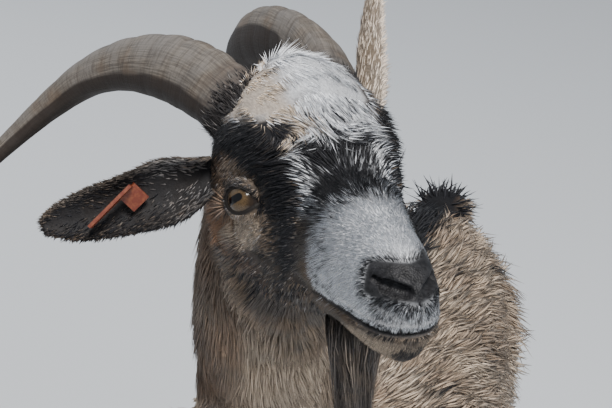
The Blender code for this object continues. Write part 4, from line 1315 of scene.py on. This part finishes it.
def growEars():
    # tufts stand on the leaf at its own s and v, and lie towards its tip and edges
    spines, ways, tones, places, widths = [], [], [], [], []
    for name in ("left", "right"):
        for face in (-1, 1, 0):
            count, length, lean, lift = earHairPlan[face]
            count = count
            s = rng.random(count) ** 0.85 * 0.97
            v = rng.uniform(-1, 1, count)
            if face == 1:
                v = np.sign(v) * abs(v) ** 0.6
            if face == 0:
                v = np.sign(v) * rng.uniform(0.93, 1.0, count)
            wall = earPlan["wall"] * 0.45 * (1 - earPlan["thinning"] * s) * np.where(abs(v) > 0.85, 0.5, 1)
            root = earPoint(name, s, v, wall * face)
            middle = earPoint(name, s, v, 0 * v)
            out = unit(earPoint(name, s, v, 0 * v + (face or 1)) - middle)
            along = unit(earPoint(name, s + 0.02, v, 0 * v) - middle)
            edge = unit(earPoint(name, s, v + 0.03, 0 * v) - earPoint(name, s, v - 0.03, 0 * v))
            edge = edge * np.sign(v)[:, None]
            lie = along + edge * lean * varied(count, 0.5)[:, None] + rng.normal(size=root.shape) * 0.10
            long = (length * mm * varied(count, 0.35) * (1 - 0.35 * s))[:, None, None]
            at = np.array((0.0, 0.46, 1.0))[None, :, None]
            rise = long * (lift * at - lift * 0.7 * at * at) - 0.0003
            spines.append(root[:, None] + unit(lie)[:, None] * long * at + out[:, None] * rise)
            ways.append(out)
            corner = np.array((0.5 if face == 1 else 0, 0.5 if name == "left" else 0.02))
            places.append(np.stack([v * 0.23 + 0.25, s * 0.46], -1) + corner)
            tone = earTone(name, face, s, v)
            tones.append(np.clip(tone * (1 + 0.25 * rng.normal(size=(count, 1))), 0, 1))
            widths.append(earHairPlan["width"] * mm * varied(count, 0.3))
    joined = (np.concatenate(rows) for rows in (spines, ways, tones, places, widths))
    spine, out, tones, places, widths = joined
    points, local = spikes(spine, out, widths, 2)
    makeCoat("coatEars", coat, lambda roots: places, 2, points, local, spine[:, 0], tones)


growEars()

beardPlan = {
    # fore, left and up of the point between the eyes, then half sizes fore and across, in mm
    "knots": [
        (54, 0, -70, 17, 17), (54, 0, -88, 17, 17), (52, 2, -112, 12, 12.5), (49, 5, -136, 9.5, 9.5),
        (46, 7, -158, 6.5, 6.5), (44, 8, -171, 2.5, 2.5),
    ],
    "strands": 2800, "width": 0.75, "locks": 46,
}


def growBeard():
    # each strand runs down inside the beard and leans to the middle of its lock towards the tip
    count, locks = beardPlan["strands"], beardPlan["locks"]
    middles = np.stack([rng.uniform(0, fullTurn, locks), rng.random(locks) ** 0.5], -1)
    lock = rng.integers(0, locks, count)
    spread = rng.normal(size=(count, 2)) * 0.26
    turn, reach = middles[lock].T
    home = np.stack([np.cos(turn) * reach, np.sin(turn) * reach], -1)
    start = rng.uniform(0.0, 0.7, count) + (rng.random(count) < 0.35) * rng.uniform(0, 1.6, count)
    lockEnd, astray = rng.uniform(3.7, 4.97, locks), rng.normal(size=(locks, 2)) * 3.0 * mm
    end = start + rng.uniform(1.5, 3.6, count) + 0.9 * rng.random(locks)[lock]
    end = np.minimum(end, lockEnd[lock])
    level = unit(np.array((headFore[0], headFore[1], 0)))
    knots = np.array(beardPlan["knots"], float)
    spine = []
    for at in (0.0, 0.32, 0.68, 1.0):
        row = throughKnots(range(len(knots)), knots, start + (end - start) * at) * mm
        f, l, u, long, wide = row.T[..., None]
        share = home * 0.92 + spread * (1 - 0.88 * at)
        share = share / np.maximum(1, np.linalg.norm(share, axis=1, keepdims=True))
        wave = np.sin(at * 5.0 + lock * 2.3)[:, None] * 1.5 * mm * at
        stray = astray[lock] * at * at + rng.normal(size=(count, 2)) * 0.7 * mm * at
        fore = f + share[:, :1] * long + wave + stray[:, :1]
        left = l + share[:, 1:] * wide + wave * 0.6 + stray[:, 1:]
        spine.append(headAt + level * fore + headLeft * left + upright * (u + f * np.sin(lift)))
    spine = np.stack(spine, 1)
    out = level * home[:, :1] + headLeft * home[:, 1:] + rng.normal(size=(count, 3)) * 0.15
    points, local = spikes(spine, unit(out), beardPlan["width"] * mm * varied(count, 0.35), 3)
    dark = 0.48 + 0.5 * (rng.random(locks)[lock] - 0.5) + 0.15 * rng.normal(size=count)
    dark = np.clip(dark - 0.45 * ramp(home[:, 1], 0.35, 0.9), 0.05, 0.9)
    tones = np.stack([0.05 + 0 * dark, dark, 0.10 + 0 * dark, 0.30 * (1 - dark)], -1)
    makeCoat("beard", coat, headChart, 3, points, local, spine[:, 0], tones, ["beard"])


growBeard()

lashPlan = {
    # in each row of lashes, then in all; lengths and widths in mm
    "lashes": 26, "lash": 8.5, "lashWidth": 0.42, "whiskers": 40, "whisker": (12, 21), "whiskerWidth": 0.26,
}


def whiskerShare(points):
    # on the upper lip, the chin and a little below the nostrils
    f, l, u = toHead(points).T
    mouth = np.interp(f, *medianMouth)
    lip = ramp(f, 78, 92) * bump(u, mouth + 9, 5) * ramp(abs(l), 4, 9)
    return (lip + ramp(f, 84, 92) * bump(u, mouth - 10, 6) * 0.8) * (zones(points)[0] > 0.5)


def growLashes():
    # lashes stand in a row on each upper lid, and a few whiskers on the lips and chin
    spines, ways = [], []
    count = lashPlan["lashes"]
    for sign in (1, -1):
        centre, axis, fore, up = eyeAxes(sign)
        turn = np.radians(np.linspace(28, 150, count)) + rng.normal(size=count) * 0.03
        x, y = np.radians(44) * np.cos(turn), np.radians(26.5) * np.sin(turn)
        angle = np.hypot(x, y)[:, None]
        way = np.cos(angle) * axis + np.sin(angle) * (x[:, None] * fore + y[:, None] * up) / angle
        root = centre + way * (eyePlan["radius"] + 1.0)
        long = lashPlan["lash"] * varied(count, 0.3)[:, None]
        bend = unit(way * 0.75 + up * 0.20 - fore * 0.25)
        spine = root, root + bend * long * 0.5, root + bend * long + up * long * 0.22
        spines.append(fromHead(np.stack(spine, 1)))
        ways.append(alongHead(np.broadcast_to(up, way.shape)))
    whiskers = lashPlan["whiskers"]
    root, way = scatter(furSurface(), whiskerShare, whiskers)
    long = rng.uniform(*lashPlan["whisker"], (whiskers, 1)) * mm
    bend = unit(way * 0.9 + np.array((0, 0, -0.35)) + rng.normal(size=way.shape) * 0.15)
    spines.append(np.stack([root, root + bend * long * 0.5, root + bend * long - upright * long * 0.12], 1))
    ways.append(np.cross(bend, headFore))
    widths = np.repeat([lashPlan["lashWidth"], lashPlan["whiskerWidth"]], [2 * count, whiskers])
    spine, out = np.concatenate(spines), np.concatenate(ways)
    points, local = spikes(spine, out, widths * mm, 2)
    tones = np.broadcast_to(np.array((0, 0.9, 0.1, 0)), (len(spine), 4))
    makeCoat("lashes", coat, headChart, 2, points, local, spine[:, 0], tones)


growLashes()


hoofColours = {"horn": (0.020, 0.017, 0.015), "paleHorn": (0.085, 0.070, 0.058), "worn": (0.16, 0.135, 0.11)}
dewPlan = {
    "height": 0.060, "spread": 0.0095, "front": -0.1835, "hind": 0.2380,
    "radius": 4.6, "length": 13.0, "way": (0.18, 0.78, -0.60), "rings": 10, "sides": 12,
}


def hoofFinish():
    # dark horn with growth lines level with the ground, and worn paler at the edge of the sole
    finish = Finish("hoof", Specular_IOR_Level=0.4)
    height = finish.split(finish.node("TexCoord", None, None, 3))[2]
    grain = finish.noise(finish.place((60.0, 60.0, 900.0)), 1.0, 4.0)
    colour = finish.blend(hoofColours["horn"], hoofColours["paleHorn"], grain.between(0.35, 0.7))
    colour = finish.blend(colour, hoofColours["worn"], (1 - height.between(0.0, 0.007)) * 0.6)
    finish.relief(grain, 0.0006, 0.7)
    return finish.feed(Base_Color=colour, Roughness=0.42 + 0.25 * grain)


def makeHooves():
    # the hooves keep their solids; a dewclaw is a round cone with a blunt tip, two behind each foot
    finish = hoofFinish()
    for name in nodes:
        if name.startswith("hoof_"):
            nodes[name].material_slots[0].material = finish
    rings, sides = dewPlan["rings"], dewPlan["sides"]
    share = np.linspace(0, 1, rings)[:, None, None]
    turn = np.linspace(0, fullTurn, sides, endpoint=False)[None, :, None]
    radius = dewPlan["radius"] * mm * np.sqrt(np.clip(1 - share ** 2.2, 0.02, 1))
    parts, corners = [], []
    for leg, end, side in product((-1, 1), ("front", "hind"), (-1, 1)):
        across = medianX + leg * limbPlan["out"] + side * dewPlan["spread"]
        way = unit(np.array(dewPlan["way"]) * (side, 1, 1))
        level = np.array((1.0, 0, 0))
        ring = np.array((across, dewPlan[end], dewPlan["height"])) + way * share * dewPlan["length"] * mm
        ring = ring + radius * (np.cos(turn) * level + np.sin(turn) * np.cross(way, level))
        ring = ring.reshape(-1, 3)
        faces = outwardFacing(ring - ring.mean(0), tubeCorners(rings, sides))
        corners += [c + rings * sides * len(parts) for c in faces]
        parts.append(ring)
    made = newPiece("dewclaws", np.concatenate(parts), corners, finish)
    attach(made, "root")


tagColours = {"plastic": (0.105, 0.018, 0.007), "scuffed": (0.165, 0.044, 0.016)}


def makeTag():
    # blank orange plastic, slightly scuffed
    finish = Finish("tag", Specular_IOR_Level=0.5)
    scuff = finish.noise(finish.place(), 420.0, 4.0)
    colour = finish.blend(tagColours["plastic"], tagColours["scuffed"], scuff.between(0.4, 0.7))
    finish.relief(scuff, 0.0002, 0.5)
    made = finish.feed(Base_Color=colour, Roughness=0.34 + 0.25 * scuff)
    for name in ("ear_tag", "ear_tag_back"):
        nodes[name].material_slots[0].material = made


makeHooves()
makeTag()
print("hooves, dewclaws and tag made")
